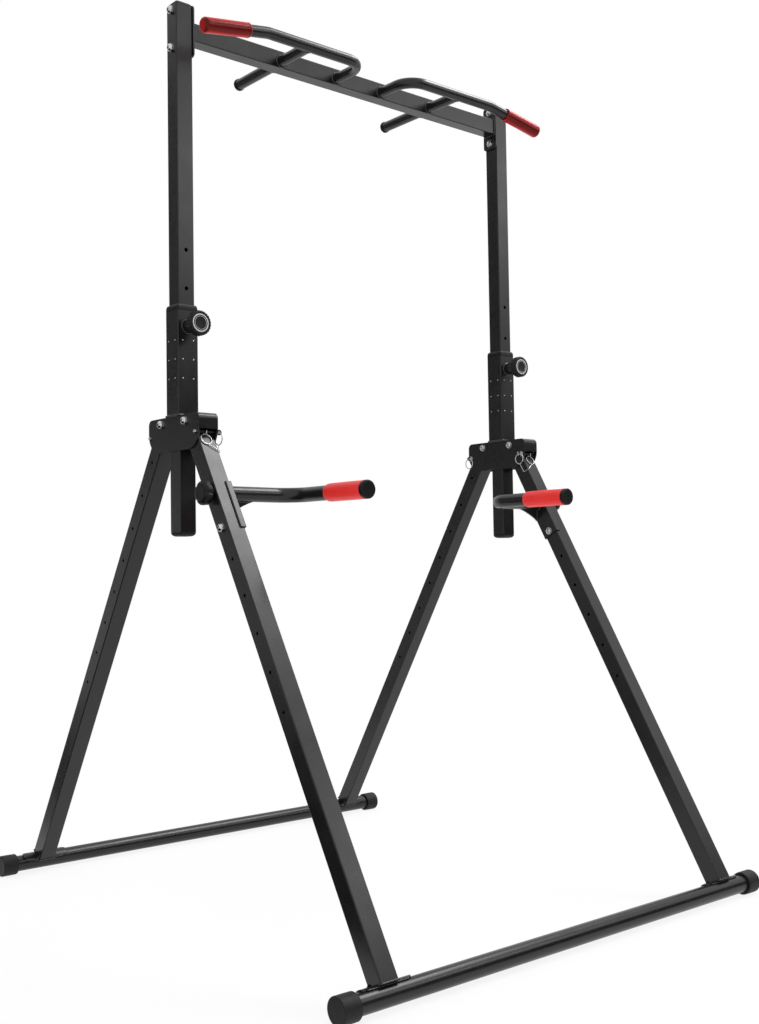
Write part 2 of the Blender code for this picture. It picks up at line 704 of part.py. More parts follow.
def build_leg(frame):
    # A square tube with its top cut back so that it swings under the bracket, on a foot plate.
    loops = [rounded_box(LEG_WIDTH, LEG_WIDTH, POST_CORNER),
             rounded_box(LEG_WIDTH - 2 * LEG_WALL, LEG_WIDTH - 2 * LEG_WALL, POST_CORNER / 2)]
    below = frame["span"] - LEG_END
    leg = outline("leg_right", loops, below + LEG_NOSE, leg_matrix(frame, (below - LEG_NOSE) / 2))
    nose_y = -PIVOT_Y
    far = 2 * LEG_WIDTH
    slant = [(nose_y + far, PIVOT_Z + LEG_NOSE), (nose_y + far, PIVOT_Z + far)]
    slant += [(nose_y - far, PIVOT_Z + far), (nose_y - far, PIVOT_Z + LEG_NOSE)]
    across = plane_matrix((POST_X, 0, 0), (0, 1, 0), (0, 0, 1))
    trim = outline("leg_trim", [slant], far, across)
    start = POST_X - LEG_WIDTH
    end = POST_X + LEG_WIDTH
    cope = along_x(start, end, -frame["foot"], footZ, FLOOR_TUBE_RADIUS + GAP + SHEET / 2, 24)
    cut(leg, trim, cope, along_x(start, end, -PIVOT_Y, PIVOT_Z, PIVOT_BOLT_RADIUS + BOLT_CLEARANCE, 10))
    return join(leg, build_foot_plate(frame))


def dip_holes(leg):
    radius = PIVOT_BOLT_RADIUS + BOLT_CLEARANCE
    start = POST_X - LEG_WIDTH
    end = POST_X + LEG_WIDTH
    stud = DIP_STUD_RADIUS + BOLT_CLEARANCE
    cut(leg, along_x(start, end, -dipY, DIP_Z, stud, 10))
    bolt_y, bolt_z = dip_bolt_place()
    return cut(leg, along_x(start, end, bolt_y, bolt_z, radius, 10))


def dip_bolt_place():
    lean = frontFrame["lean"]
    return (-dipY - DIP_BOLT_BELOW * math.sin(lean), DIP_Z - DIP_BOLT_BELOW * math.cos(lean))


def build_floor_tube(frame):
    end = floorHalfLength - FOOT_CAP_WALL - GAP
    middle = plane_matrix((0, -frame["foot"], footZ), (0, 1, 0), (0, 0, 1))
    loops = [circle((0, 0), FLOOR_TUBE_RADIUS, 24)]
    loops.append(circle((0, 0), FLOOR_TUBE_RADIUS - FLOOR_TUBE_WALL, 16))
    return outline("floor_tube", loops, 2 * end, middle)


def build_foot_cap(frame):
    # A rubber cup over the floor tube's end, with a flat facet turned to the floor.
    edge = FOOT_CAP_EDGE
    radius = FOOT_CAP_RADIUS
    length = FOOT_CAP_LENGTH
    profile = [(0.0, 0.0), (radius - edge, 0.0), (radius - edge * 0.3, -edge * 0.3), (radius, -edge)]
    profile += [(radius, -length)]
    bore = FLOOR_TUBE_RADIUS + GAP
    profile += [(bore, -length), (bore, -FOOT_CAP_WALL), (0.0, -FOOT_CAP_WALL)]
    place = plane_matrix((floorHalfLength, -frame["foot"], footZ), (0, 1, 0), (0, 0, 1))
    half_facet = Matrix.Rotation(math.pi / FOOT_CAP_SIDES, 4, "Z")
    return turned("foot_cap_right", profile, place @ half_facet, FOOT_CAP_SIDES)


def build_lock_knob():
    face = SLEEVE_WIDTH / 2 + BOSS_LENGTH + GAP
    edge = KNOB_EDGE
    radius = KNOB_RADIUS
    length = KNOB_LENGTH
    profile = [(0.0, length - 0.001), (radius * 0.62, length - 0.001), (radius * 0.7, length)]
    profile += [(radius - edge, length), (radius - edge * 0.3, length - edge * 0.3)]
    profile += [(radius, length - edge), (radius, edge), (radius - edge * 0.3, edge * 0.3)]
    profile += [(radius - edge, 0.0), (PLUNGER_RADIUS, 0.0)]
    tip = POST_WIDTH / 2 + SLIDE_CLEARANCE - face
    profile += [(PLUNGER_RADIUS, tip), (0.0, tip)]
    return turned("lock_knob_right", profile, front_matrix((POST_X, -face, LOCK_Z)), 18, PLASTIC_BLACK)


def pin_eye_x():
    return plateInner - GAP - PIN_COLLAR_LENGTH - EYE_RADIUS


def build_stop_pin(frame):
    # The pull-out pin that the spread leg bears on, with an eye at its inner end.
    base = plateInner - GAP
    reach = plateOuter + STOP_PIN_TIP - base
    radius = STOP_PIN_RADIUS
    profile = [(0.0, reach), (radius * 0.6, reach), (radius, reach - radius * 0.5), (radius, 0.0)]
    profile += [(PIN_COLLAR_RADIUS, 0.0), (PIN_COLLAR_RADIUS, -PIN_COLLAR_LENGTH)]
    profile += [(0.0, -PIN_COLLAR_LENGTH)]
    pin = turned("stop_pin_right", profile, x_matrix((base, -frame["pin"], stopPinZ), 1), 8)
    across = plane_matrix((pin_eye_x(), -frame["pin"], stopPinZ), (1, 0, 0), (0, 0, 1))
    neck = PIN_COLLAR_LENGTH / 2 + EYE_RADIUS
    half = EYE_RADIUS * 0.8
    tab = [(0.0, -half), (neck, -half), (neck, half), (0.0, half)]
    join(pin, outline("pin_neck", [tab], EYE_THICKNESS, across))
    join(pin, outline("pin_eye", [circle((0, 0), EYE_RADIUS, 10)], EYE_THICKNESS * 0.96, across))
    return cut(pin, outline("eye_hole", [clear_hole((0, 0), EYE_HOLE, 8)], EYE_THICKNESS * 2, across))


def ring_hang():
    # How far the ring's wire sinks in the eye before it meets the rim.
    return EYE_HOLE - RING_WIRE - GAP


def build_ring(frame):
    # A closed wire ring that hangs through the eye, with a flat of its facets at the top.
    half_facet = math.pi / RING_FACETS
    drop = RING_RADIUS * math.cos(half_facet)
    centre = (pin_eye_x(), -frame["pin"], stopPinZ - ring_hang() - drop)
    profile = [(RING_RADIUS + across, along) for across, along in reversed(circle((0, 0), RING_WIRE, 5))]
    place = x_matrix(centre, 1) @ Matrix.Rotation(math.pi / 2 + half_facet, 4, "Z")
    return turned("pin_ring_right", profile, place, RING_FACETS, closed=True)


def build_dip_handle():
    # A bent tube on a saddle that hugs the leg from the inside, with a curved web under it.
    web_outer = legInner - GAP
    tip_y = -dipY - DIP_REACH
    corners = [(web_outer - SHEET / 2, -dipY, DIP_Z), (DIP_X, -dipY, DIP_Z), (DIP_X, tip_y, DIP_Z)]
    handle = tube("dip_handle_right", rounded_path(corners, (DIP_BEND,), 6), DIP_RADIUS, 12, STEEL_BLACK)
    pivot_to_dip = (PIVOT_Z - DIP_Z) / math.cos(frontFrame["lean"])
    middle = pivot_to_dip + (SADDLE_BELOW - SADDLE_ABOVE) / 2
    length = SADDLE_ABOVE + SADDLE_BELOW
    width = LEG_WIDTH + 2 * (GAP + SHEET)
    depth = SADDLE_FLANGE + GAP + SHEET
    centre = leg_matrix(frontFrame, middle)
    shift = Matrix.Translation((depth / 2 - SHEET - GAP - LEG_WIDTH / 2, 0, 0))
    block = outline("saddle", [rounded_box(depth, width, SADDLE_CORNER, 2)], length, centre @ shift)
    inner = LEG_WIDTH + 2 * GAP
    hollow_shift = Matrix.Translation((depth / 2 - GAP - LEG_WIDTH / 2, 0, 0))
    hollow_loop = rounded_box(depth, inner, SADDLE_CORNER / 2, 1)
    hollow = outline("saddle_hollow", [hollow_loop], 2 * length, centre @ hollow_shift)
    gusset_x = web_outer - SHEET / 2
    low = DIP_Z - DIP_RADIUS - GUSSET_HEIGHT
    reach = gusset_x - GUSSET_LENGTH
    rise = DIP_Z - DIP_RADIUS * 0.5
    sweep = [(reach, rise)]
    for step in range(0, 7):
        angle = math.radians(15 * step)
        sweep.append((reach + GUSSET_LENGTH * math.sin(angle) ** GUSSET_CURVE,
                      low + GUSSET_HEIGHT * math.cos(angle) ** GUSSET_CURVE))
    sweep.append((gusset_x, rise))
    upright = plane_matrix((0, -dipY, 0), (1, 0, 0), (0, 0, 1))
    gusset = outline("gusset", [sweep], GUSSET_THICKNESS, upright)
    join(handle, block, gusset)
    cut(handle, hollow)
    bore = [(web_outer - 2 * SHEET, -dipY, DIP_Z), corners[1], (DIP_X, tip_y - OVERRUN, DIP_Z)]
    cut(handle, tube("dip_bore", rounded_path(bore, (DIP_BEND,), 6), DIP_RADIUS - DIP_WALL, BORE_SIDES))
    stud = DIP_STUD_RADIUS + BOLT_CLEARANCE
    cut(handle, along_x(web_outer - 0.02, POST_X, -dipY, DIP_Z, stud, 10))
    bolt_y, bolt_z = dip_bolt_place()
    bolt_radius = PIVOT_BOLT_RADIUS + BOLT_CLEARANCE
    return cut(handle, along_x(web_outer - 0.02, POST_X, bolt_y, bolt_z, bolt_radius, 10))


def build_dip_grip():
    tip = -dipY - DIP_REACH
    outer = DIP_GRIP_RADIUS
    bore = DIP_RADIUS + GAP
    profile = [(outer - 0.001, 0.0), (outer, -0.001), (outer, 0.006 - DIP_GRIP_LENGTH)]
    profile += [(outer - 0.001, 0.002 - DIP_GRIP_LENGTH), (bore + 0.0008, -DIP_GRIP_LENGTH)]
    profile += [(bore, -DIP_GRIP_LENGTH), (bore, 0.0)]
    return turned("dip_grip_right", profile, front_matrix((DIP_X, tip, DIP_Z)), 16, GRIP_RED, closed=True)


def build_dip_cap():
    tip = -dipY - DIP_REACH - GAP
    outer = DIP_GRIP_RADIUS
    tail = (DIP_RADIUS - DIP_WALL) * math.cos(math.pi / BORE_SIDES) - GAP
    length = DIP_CAP_LENGTH
    profile = [(0.0, length), (outer - 0.0025, length), (outer - 0.0007, length - 0.0007)]
    profile += [(outer, length - 0.0025), (outer, 0.0), (tail, 0.0)]
    profile += [(tail, -DIP_CAP_PLUG), (0.0, -DIP_CAP_PLUG)]
    return turned("dip_end_cap_right", profile, front_matrix((DIP_X, tip, DIP_Z)), 16, PLASTIC_BLACK)


def build_dip_knob():
    # A screw knob outside the leg: its stud passes through the leg into the handle's saddle.
    base = legOuter + GAP
    radius = DIP_KNOB_RADIUS
    length = DIP_KNOB_LENGTH
    neck = radius * 0.6
    profile = [(0.0, length), (radius * 0.45, length), (radius * 0.55, length - 0.0015)]
    profile += [(radius - 0.006, length - 0.002), (radius - 0.0015, length - 0.005), (radius, length - 0.009)]
    profile += [(radius, length * 0.4), (radius - 0.002, length * 0.3), (neck, length * 0.25), (neck, 0.0)]
    stud_end = legInner - GAP - 2 * SHEET - base
    profile += [(DIP_STUD_RADIUS, 0.0), (DIP_STUD_RADIUS, stud_end), (0.0, stud_end)]
    return turned("dip_knob_right", profile, x_matrix((base, -dipY, DIP_Z), 1), 18, PLASTIC_BLACK)


def add_empty(name, place, parent=None):
    empty = bpy.data.objects.new(name, None)
    parts.objects.link(empty)
    empty.empty_display_size = 0.05
    empty.location = Vector(place) - (axis_places[parent.name] if parent else Vector((0, 0, 0)))
    empty.parent = parent
    axis_places[name] = Vector(place)
    return empty


def carry(pieces, empty):
    # Hang the pieces on a joint's empty without moving them.
    place = axis_places[empty.name]
    for piece in pieces:
        piece.data.transform(Matrix.Translation(-place))
        piece.parent = empty


axis_places = {}
head = add_empty("hinge_head", (0, 0, PIVOT_Z))
mast = add_empty("mast_slide", (0, 0, LOCK_Z), head)
front = add_empty("front_frame_pivot", (0, -PIVOT_Y, PIVOT_Z), head)
rear = add_empty("rear_frame_pivot", (0, PIVOT_Y, PIVOT_Z), head)


def other_side(piece, look):
    return copied(piece, piece.name.replace("_right", "_left"), look, (-1, 1, 1))


def both_sides(piece, look):
    return [piece, other_side(piece, look)]


def rear_copy(piece, look):
    return copied(piece, piece.name.replace("front_", "rear_"), look, (1, -1, 1))


def on_frame(frame, name, blank, look):
    # The frames' pieces are shaped as front ones, and the rear frame's are mirrored to their side.
    return copied(blank, frame["name"] + "_" + name, look, frame["flip"])


fixed = both_sides(build_bracket(), STEEL_BLACK) + both_sides(build_sleeve(), STEEL_BLACK)
fixed += both_sides(build_bushing(), PLASTIC_BLACK)
pivot_bolt = through_bolt("front_pivot_bolt_right", -PIVOT_Y, PIVOT_Z, plateInner, plateOuter,
                          BOLT_HEAD_RADIUS, CHROME)
for bolt in (pivot_bolt, rear_copy(pivot_bolt, CHROME)):
    fixed += both_sides(bolt, CHROME)
carry(fixed, head)

upper = both_sides(build_post(), STEEL_BLACK) + both_sides(build_post_cap(), PLASTIC_BLACK)
upper += both_sides(build_post_plug(), PLASTIC_BLACK)
upper += [build_crossbar()]
for height, name in ((1, "upper_bar_bolt_right"), (-1, "lower_bar_bolt_right")):
    bar_bolt = through_bolt(name, 0.0, barZ + height * BAR_BOLT_SPACING / 2, barHalf,
                            POST_X + POST_WIDTH / 2, BOLT_HEAD_RADIUS, CHROME)
    upper += both_sides(bar_bolt, CHROME)
upper += both_sides(build_pull_handle(), STEEL_BLACK) + both_sides(build_pull_grip(), FOAM_RED)
upper += both_sides(build_neutral_bar(), STEEL_BLACK) + both_sides(build_neutral_cap(), PLASTIC_BLACK)
carry(upper, mast)

for frame, swing in ((frontFrame, front), (rearFrame, rear)):
    leg = build_leg(frame)
    if frame is frontFrame:
        dip_holes(leg)
    standing = both_sides(on_frame(frame, "leg_right", leg, STEEL_BLACK), STEEL_BLACK)
    standing += [on_frame(frame, "floor_tube", build_floor_tube(frame), STEEL_BLACK)]
    cap = on_frame(frame, "foot_cap_right", build_foot_cap(frame), RUBBER_BLACK)
    carry(standing + both_sides(cap, RUBBER_BLACK), swing)

    pins = both_sides(on_frame(frame, "stop_pin_right", build_stop_pin(frame), CHROME), CHROME)
    rings = both_sides(on_frame(frame, "pin_ring_right", build_ring(frame), CHROME), CHROME)
    pin_y = -frame["flip"][1] * frame["pin"]
    for side, pin, ring in zip((1, -1), pins, rings):
        slide = add_empty(pin.name + "_slide", (side * plateInner, pin_y, stopPinZ), head)
        eye = (side * pin_eye_x(), pin_y, stopPinZ - ring_hang())
        carry([pin], slide)
        carry([ring], add_empty(ring.name + "_swing", eye, slide))

ahead = both_sides(build_dip_handle(), STEEL_BLACK) + both_sides(build_dip_grip(), GRIP_RED)
ahead += both_sides(build_dip_cap(), PLASTIC_BLACK)
dip_bolt_y, dip_bolt_z = dip_bolt_place()
dip_bolt = through_bolt("dip_bolt_right", dip_bolt_y, dip_bolt_z, legInner - GAP - SHEET, legOuter,
                        BOLT_HEAD_RADIUS, CHROME)
ahead += both_sides(dip_bolt, CHROME)
carry(ahead, front)

for knob, side in zip(both_sides(build_lock_knob(), PLASTIC_BLACK), (1, -1)):
    place = (side * POST_X, -SLEEVE_WIDTH / 2, LOCK_Z)
    carry([knob], add_empty(knob.name + "_slide", place, head))
for knob, side in zip(both_sides(build_dip_knob(), PLASTIC_BLACK), (1, -1)):
    place = (side * legOuter, -dipY, DIP_Z)
    carry([knob], add_empty(knob.name + "_axis", place, front))

# The rear feet stand out further than the front ones, so the mast stands ahead of the middle.
head.location.y = mastY
for helper in cutters.objects:
    helper.location.y = mastY
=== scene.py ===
# Folding pull-up and dip tower: the looks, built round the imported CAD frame.
# Metres. X runs along the crossbar, -Y is the front where the dip handles point, +Z is up.
# Places come from the CAD nodes' boxes, so a piece stays where its node is.

import math

import bmesh
import bpy
from mathutils import Matrix, Vector


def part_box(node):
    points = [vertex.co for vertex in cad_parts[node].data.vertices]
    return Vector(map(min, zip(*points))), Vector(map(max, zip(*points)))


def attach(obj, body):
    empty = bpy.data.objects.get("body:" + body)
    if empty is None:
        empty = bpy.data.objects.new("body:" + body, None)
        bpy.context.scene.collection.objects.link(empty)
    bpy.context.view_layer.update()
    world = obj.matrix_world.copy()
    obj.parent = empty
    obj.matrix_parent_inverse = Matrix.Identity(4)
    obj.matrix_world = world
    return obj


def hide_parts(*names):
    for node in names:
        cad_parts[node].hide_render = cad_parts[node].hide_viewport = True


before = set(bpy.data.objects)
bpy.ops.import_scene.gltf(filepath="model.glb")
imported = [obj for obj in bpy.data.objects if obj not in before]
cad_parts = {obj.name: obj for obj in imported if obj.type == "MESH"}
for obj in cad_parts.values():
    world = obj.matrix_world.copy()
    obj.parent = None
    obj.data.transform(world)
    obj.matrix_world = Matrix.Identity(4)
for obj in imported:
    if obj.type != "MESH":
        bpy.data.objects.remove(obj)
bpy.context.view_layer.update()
scene = bpy.context.scene


def middle(node):
    low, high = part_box(node)
    return (low + high) / 2


def extent(node):
    low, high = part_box(node)
    return high - low


def newObject(name, data):
    made = bpy.data.objects.new(name, data)
    scene.collection.objects.link(made)
    return made


clearance = 0.0003  # the air between two pieces of the CAD that touch
postX = middle("post_right").x
mastY = middle("post_right").y
postWidth = extent("post_right").x
barZ = middle("crossbar").z
leanOf = {}
pivotOf = {}
footOf = {}
for end in ("front", "rear"):
    pivotOf[end] = middle(f"{end}_pivot_bolt_right")
    footOf[end] = middle(f"{end}_floor_tube")
    run = abs(footOf[end].y - pivotOf[end].y)
    leanOf[end] = math.atan2(run, pivotOf[end].z - footOf[end].z)
outward = {"front": -1, "rear": 1}  # the way along Y that each frame spreads

print("frame loaded:", len(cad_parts), "nodes")

# Camera: fitted to the photograph's measured points on the CAD's sizes, in metres and radians.

cameraFit = {
    "place": (-1.8637, -2.2802, 0.7588),
    "yaw": 0.7054,
    "pitch": 0.0439,
    "roll": -0.0152,
    "lens": 42.824,
    "sensor": 36.0,
}


def aimCamera(fit):
    yaw, pitch, roll = fit["yaw"], fit["pitch"], fit["roll"]
    forward = Vector((math.sin(yaw) * math.cos(pitch), math.cos(yaw) * math.cos(pitch), math.sin(pitch)))
    level = Vector((math.cos(yaw), -math.sin(yaw), 0.0))
    rise = level.cross(forward)
    right = level * math.cos(roll) + rise * math.sin(roll)
    up = rise * math.cos(roll) - level * math.sin(roll)
    lens = bpy.data.cameras.new("photo_camera")
    lens.lens = fit["lens"]
    lens.sensor_width = fit["sensor"]
    camera = newObject("photo_camera", lens)
    turn = Matrix((right, up, -forward)).transposed().to_4x4()
    camera.matrix_world = Matrix.Translation(Vector(fit["place"])) @ turn
    scene.camera = camera


aimCamera(cameraFit)

# Nodes and colours.


def linear(hexColour):
    # sRGB hex to the linear values that Blender's sockets take
    channels = [int(hexColour[start:start + 2], 16) / 255 for start in (1, 3, 5)]
    curved = [c / 12.92 if c <= 0.04045 else ((c + 0.055) / 1.055) ** 2.4 for c in channels]
    return (*curved, 1.0)


def addNode(tree, kind, links=None, **settings):
    # one node with its settings; a link's value is another node's output or a plain value
    node = tree.nodes.new(kind)
    for name, value in settings.items():
        setattr(node, name, value)
    for socket, value in (links or {}).items():
        if isinstance(value, bpy.types.NodeSocket):
            tree.links.new(value, node.inputs[socket])
        else:
            node.inputs[socket].default_value = value
    return node


def perMetre(millimetres):
    # texture scale for a pattern of that size on Object coordinates
    return 1000.0 / millimetres


def blankMaterial(name):
    made = bpy.data.materials.new(name)
    made.use_nodes = True
    made.node_tree.nodes.clear()
    return made, made.node_tree


# what a finish has unless it says otherwise
plainLook = {"speckFrom": 0.6, "speckShare": 0.4, "specular": 0.5, "metallic": 0.0}


def surface(name, look):
    # Every finish here is one shader with a broad tint, a fine speckle and a bumpy skin.
    look = {**plainLook, **look}
    made, tree = blankMaterial(name)
    made.diffuse_color = linear(look["colour"])
    where = addNode(tree, "ShaderNodeTexCoord").outputs["Object"]
    tint = addNode(tree, "ShaderNodeTexNoise", {
        "Vector": where, "Scale": perMetre(look["tintMm"]), "Detail": 3.0, "Roughness": 0.55})
    speck = addNode(tree, "ShaderNodeTexNoise", {
        "Vector": where, "Scale": perMetre(look["speckMm"]), "Detail": 1.0})
    blotch = addNode(tree, "ShaderNodeMapRange", {
        "Value": tint.outputs["Fac"], "From Min": 0.3, "From Max": 0.7}, interpolation_type="SMOOTHSTEP")
    dots = addNode(tree, "ShaderNodeMapRange", {
        "Value": speck.outputs["Fac"], "From Min": look["speckFrom"], "From Max": look["speckFrom"] + 0.08,
        "To Max": look["speckShare"]})
    base = addNode(tree, "ShaderNodeMix", {
        "Factor": blotch.outputs[0], "A": linear(look["colour"]), "B": linear(look["tint"])},
        data_type="RGBA")
    speckled = addNode(tree, "ShaderNodeMix", {
        "Factor": dots.outputs[0], "A": base.outputs["Result"], "B": linear(look["speck"])}, data_type="RGBA")
    if "rim" in look:
        # painted sheen: the colour turns to the lighter rim red where the surface is seen edge on
        paintedSheenFacing = addNode(tree, "ShaderNodeLayerWeight", {"Blend": 0.5})
        rim = addNode(tree, "ShaderNodeMapRange", {
            "Value": paintedSheenFacing.outputs["Facing"], "From Min": 0.2, "From Max": 0.7},
            interpolation_type="SMOOTHSTEP")
        speckled = addNode(tree, "ShaderNodeMix", {
            "Factor": rim.outputs[0], "A": speckled.outputs["Result"], "B": linear(look["rim"])},
            data_type="RGBA")
    rough = addNode(tree, "ShaderNodeMapRange", {
        "Value": tint.outputs["Fac"], "From Min": 0.3, "From Max": 0.7,
        "To Min": look["roughness"] - look["roughSpread"], "To Max": look["roughness"] + look["roughSpread"]})
    skin = addNode(tree, "ShaderNodeTexNoise", {
        "Vector": where, "Scale": perMetre(look["skinMm"]), "Detail": look["skinDetail"], "Roughness": 0.6})
    bump = addNode(tree, "ShaderNodeBump", {
        "Height": skin.outputs["Fac"], "Strength": look["skinStrength"], "Distance": look["skinDepth"]})
    shader = addNode(tree, "ShaderNodeBsdfPrincipled", {
        "Base Color": speckled.outputs["Result"], "Roughness": rough.outputs[0], "Normal": bump.outputs[0],
        "Metallic": look["metallic"], "IOR": 1.5, "Specular IOR Level": look["specular"]})
    addNode(tree, "ShaderNodeOutputMaterial", {"Surface": shader.outputs[0]})
    return made


# Polyester powder coat, sprayed and baked on steel tube: satin black with a faint orange peel.
# The peel of the real one is about 1.5 mm wide; it is drawn at 2.6 mm so that it shows.
powderCoat = surface("satinPowderCoat", {
    "colour": "#121213", "tint": "#161617", "tintMm": 60.0,
    "speck": "#262628", "speckMm": 1.6, "speckFrom": 0.62, "speckShare": 0.3,
    "roughness": 0.29, "roughSpread": 0.03, "specular": 0.42,
    "skinMm": 2.6, "skinDetail": 2.0, "skinStrength": 0.25, "skinDepth": 0.00012})
# The coat is thicker and wetter over a weld, so the beads shine more.
weldCoat = surface("coatedWeld", {
    "colour": "#141415", "tint": "#1c1c1d", "tintMm": 9.0,
    "speck": "#4a4a4c", "speckMm": 1.4,
    "roughness": 0.2, "roughSpread": 0.06, "specular": 0.6,
    "skinMm": 1.8, "skinDetail": 3.0, "skinStrength": 0.6, "skinDepth": 0.0003})
# Injection-moulded black nylon: a fine spark-eroded grain that dulls it.
mouldedNylon = surface("mouldedNylon", {
    "colour": "#0b0b0c", "tint": "#0f0f10", "tintMm": 35.0,
    "speck": "#1a1a1b", "speckMm": 1.2,
    "roughness": 0.44, "roughSpread": 0.06, "specular": 0.25,
    "skinMm": 1.1, "skinDetail": 2.0, "skinStrength": 0.5, "skinDepth": 0.00008})
# Moulded floor rubber: matt, slightly greyed by talc and handling.
floorRubber = surface("floorRubber", {
    "colour": "#161617", "tint": "#1c1c1d", "tintMm": 22.0,
    "speck": "#2c2c2d", "speckMm": 1.8,
    "roughness": 0.55, "roughSpread": 0.06, "specular": 0.25,
    "skinMm": 1.4, "skinDetail": 2.0, "skinStrength": 0.5, "skinDepth": 0.00012})
# Bright zinc plate on bolts, pins and wire: a hard, slightly cloudy mirror.
zincPlate = surface("brightZincPlate", {
    "colour": "#c9cbcd", "tint": "#b4b7ba", "tintMm": 6.0,
    "speck": "#e6e7e8", "speckMm": 1.0,
    "roughness": 0.2, "roughSpread": 0.06, "metallic": 1.0,
    "skinMm": 1.2, "skinDetail": 1.0, "skinStrength": 0.15, "skinDepth": 0.00005})
# Hot-dipped vinyl on the top grips: a thick dark red skin with a wet gloss; its lighter rim red is a painted
# sheen where the grip is seen edge on.
dippedVinyl = surface("dippedVinyl", {
    "colour": "#5a0c0a", "tint": "#64100d", "tintMm": 30.0, "rim": "#c01c1a",
    "speck": "#701a17", "speckMm": 2.2, "speckFrom": 0.66, "speckShare": 0.15,
    "roughness": 0.24, "roughSpread": 0.02, "specular": 0.15,
    "skinMm": 7.0, "skinDetail": 1.0, "skinStrength": 0.1, "skinDepth": 0.0003})
# Soft extruded PVC on the dip grips: bright red, satin, with a faint pebble.
softPvc = surface("softPvc", {
    "colour": "#ea2826", "tint": "#f02f2c", "tintMm": 40.0,
    "speck": "#f2504a", "speckMm": 1.7, "speckFrom": 0.62, "speckShare": 0.15,
    "roughness": 0.4, "roughSpread": 0.03, "specular": 0.35,
    "skinMm": 1.6, "skinDetail": 2.0, "skinStrength": 0.25, "skinDepth": 0.00012})
# Pad-printed ring on the lock knobs: a thin off-white ink, a little worn into the grain.
printedInk = surface("padPrintedInk", {
    "colour": "#d8d8d6", "tint": "#c2c2c0", "tintMm": 5.0,
    "speck": "#8a8a88", "speckMm": 0.9, "speckShare": 0.6,
    "roughness": 0.5, "roughSpread": 0.05,
    "skinMm": 1.1, "skinDetail": 1.0, "skinStrength": 0.2, "skinDepth": 0.00004})

print("materials made")

# Mesh helpers.

weldGap = 0.000002  # corners nearer than this become one
axisGap = 0.000001  # the same where a turned shape closes on its axis


def meshFrom(shape, mesh=None):
    # the bmesh as a mesh, in a new one or the one given
    made = bpy.data.meshes.new("shape") if mesh is None else mesh
    shape.to_mesh(made)
    shape.free()
    return made


def placed(mesh, matrix=None):
    # weld what touches, put the shape in its place and point its faces outwards
    shape = bmesh.new()
    shape.from_mesh(mesh)
    bmesh.ops.remove_doubles(shape, verts=shape.verts, dist=weldGap)
    if matrix:
        bmesh.ops.transform(shape, matrix=matrix, verts=shape.verts)
    bmesh.ops.recalc_face_normals(shape, faces=shape.faces)
    return meshFrom(shape, mesh)


def scratch(data):
    return newObject("scratch", data)


def meshOf(maker):
    # the evaluated mesh of a scratch object, which is then removed
    bpy.context.view_layer.update()
    graph = bpy.context.evaluated_depsgraph_get()
    mesh = bpy.data.meshes.new_from_object(maker.evaluated_get(graph), depsgraph=graph)
    bpy.data.objects.remove(maker, do_unlink=True)
    return mesh


def loft(loops, closed=False):
    # a skin through loops of equal count; a closed one joins its last loop to its first
    shape = bmesh.new()
    rings = [[shape.verts.new(point) for point in loop] for loop in loops]
    for lower, upper in zip(rings, rings[1:] + rings[:1] if closed else rings[1:]):
        for index in range(len(lower)):
            after = (index + 1) % len(lower)
            shape.faces.new((lower[index], lower[after], upper[after], upper[index]))
    if not closed:
        shape.faces.new(list(reversed(rings[0])))
        shape.faces.new(rings[-1])
    return meshFrom(shape)


def turned(profile, steps, closed=False):
    # (radius, height) points spun round Z; points on the axis close the ends
    shape = bmesh.new()
    columns = []
    for index in range(steps):
        angle = 2 * math.pi * index / steps
        columns.append([shape.verts.new((r * math.cos(angle), r * math.sin(angle), z)) for r, z in profile])
    rows = len(profile)
    for here, there in zip(columns, columns[1:] + columns[:1]):
        for row in range(rows if closed else rows - 1):
            below = (row + 1) % rows
            shape.faces.new((here[row], there[row], there[below], here[below]))
    bmesh.ops.remove_doubles(shape, verts=shape.verts, dist=axisGap)
    bmesh.ops.dissolve_degenerate(shape, edges=shape.edges, dist=axisGap)
    return placed(meshFrom(shape))


def quarter(steps, first=0, span=90):
    # sine and cosine on the way round an edge, from its flat face to its side
    angles = [math.radians(span * step / steps) for step in range(first, steps + 1)]
    return [(math.sin(angle), math.cos(angle)) for angle in angles]


def polygon(radius, count, turn=0):
    # the corners of a regular polygon, or of a circle when they are many
    angles = [math.radians(turn + 360 * index / count) for index in range(count)]
    return [(radius * math.cos(angle), radius * math.sin(angle)) for angle in angles]


def arcPoints(centre, radius, start, end, steps):
    found = []
    for index in range(steps + 1):
        angle = math.radians(start + (end - start) * index / steps)
        found.append((centre[0] + radius * math.cos(angle), centre[1] + radius * math.sin(angle)))
    return found


def roundedRect(width, height, radius, steps=5):
    across, along = width / 2 - radius, height / 2 - radius
    found = []
    for index, (sideX, sideY) in enumerate(((1, 1), (-1, 1), (-1, -1), (1, -1))):
        found += arcPoints((sideX * across, sideY * along), radius, 90 * index, 90 * index + 90, steps)
    return found


def axes(origin, xAxis, yAxis):
    # a frame whose Z is x cross y
    xAxis, yAxis = Vector(xAxis).normalized(), Vector(yAxis).normalized()
    turn = Matrix((xAxis, yAxis, xAxis.cross(yAxis))).transposed().to_4x4()
    return Matrix.Translation(Vector(origin)) @ turn


def along(origin, direction):
    # a frame whose Z points that way
    return Matrix.Translation(Vector(origin)) @ Vector(direction).to_track_quat("Z", "Y").to_matrix().to_4x4()


def prism(outline, low, high):
    return loft([[(x, y, level) for x, y in outline] for level in (low, high)])


def squareTube(width, depth, wall, corner, low, high):
    outer = roundedRect(width, depth, corner)
    inner = roundedRect(width - 2 * wall, depth - 2 * wall, max(corner - wall, 0.0006))
    loops = [[(x, y, z) for x, y in shape] for shape, z in
             ((outer, low), (outer, high), (inner, high), (inner, low))]
    return loft(loops, closed=True)


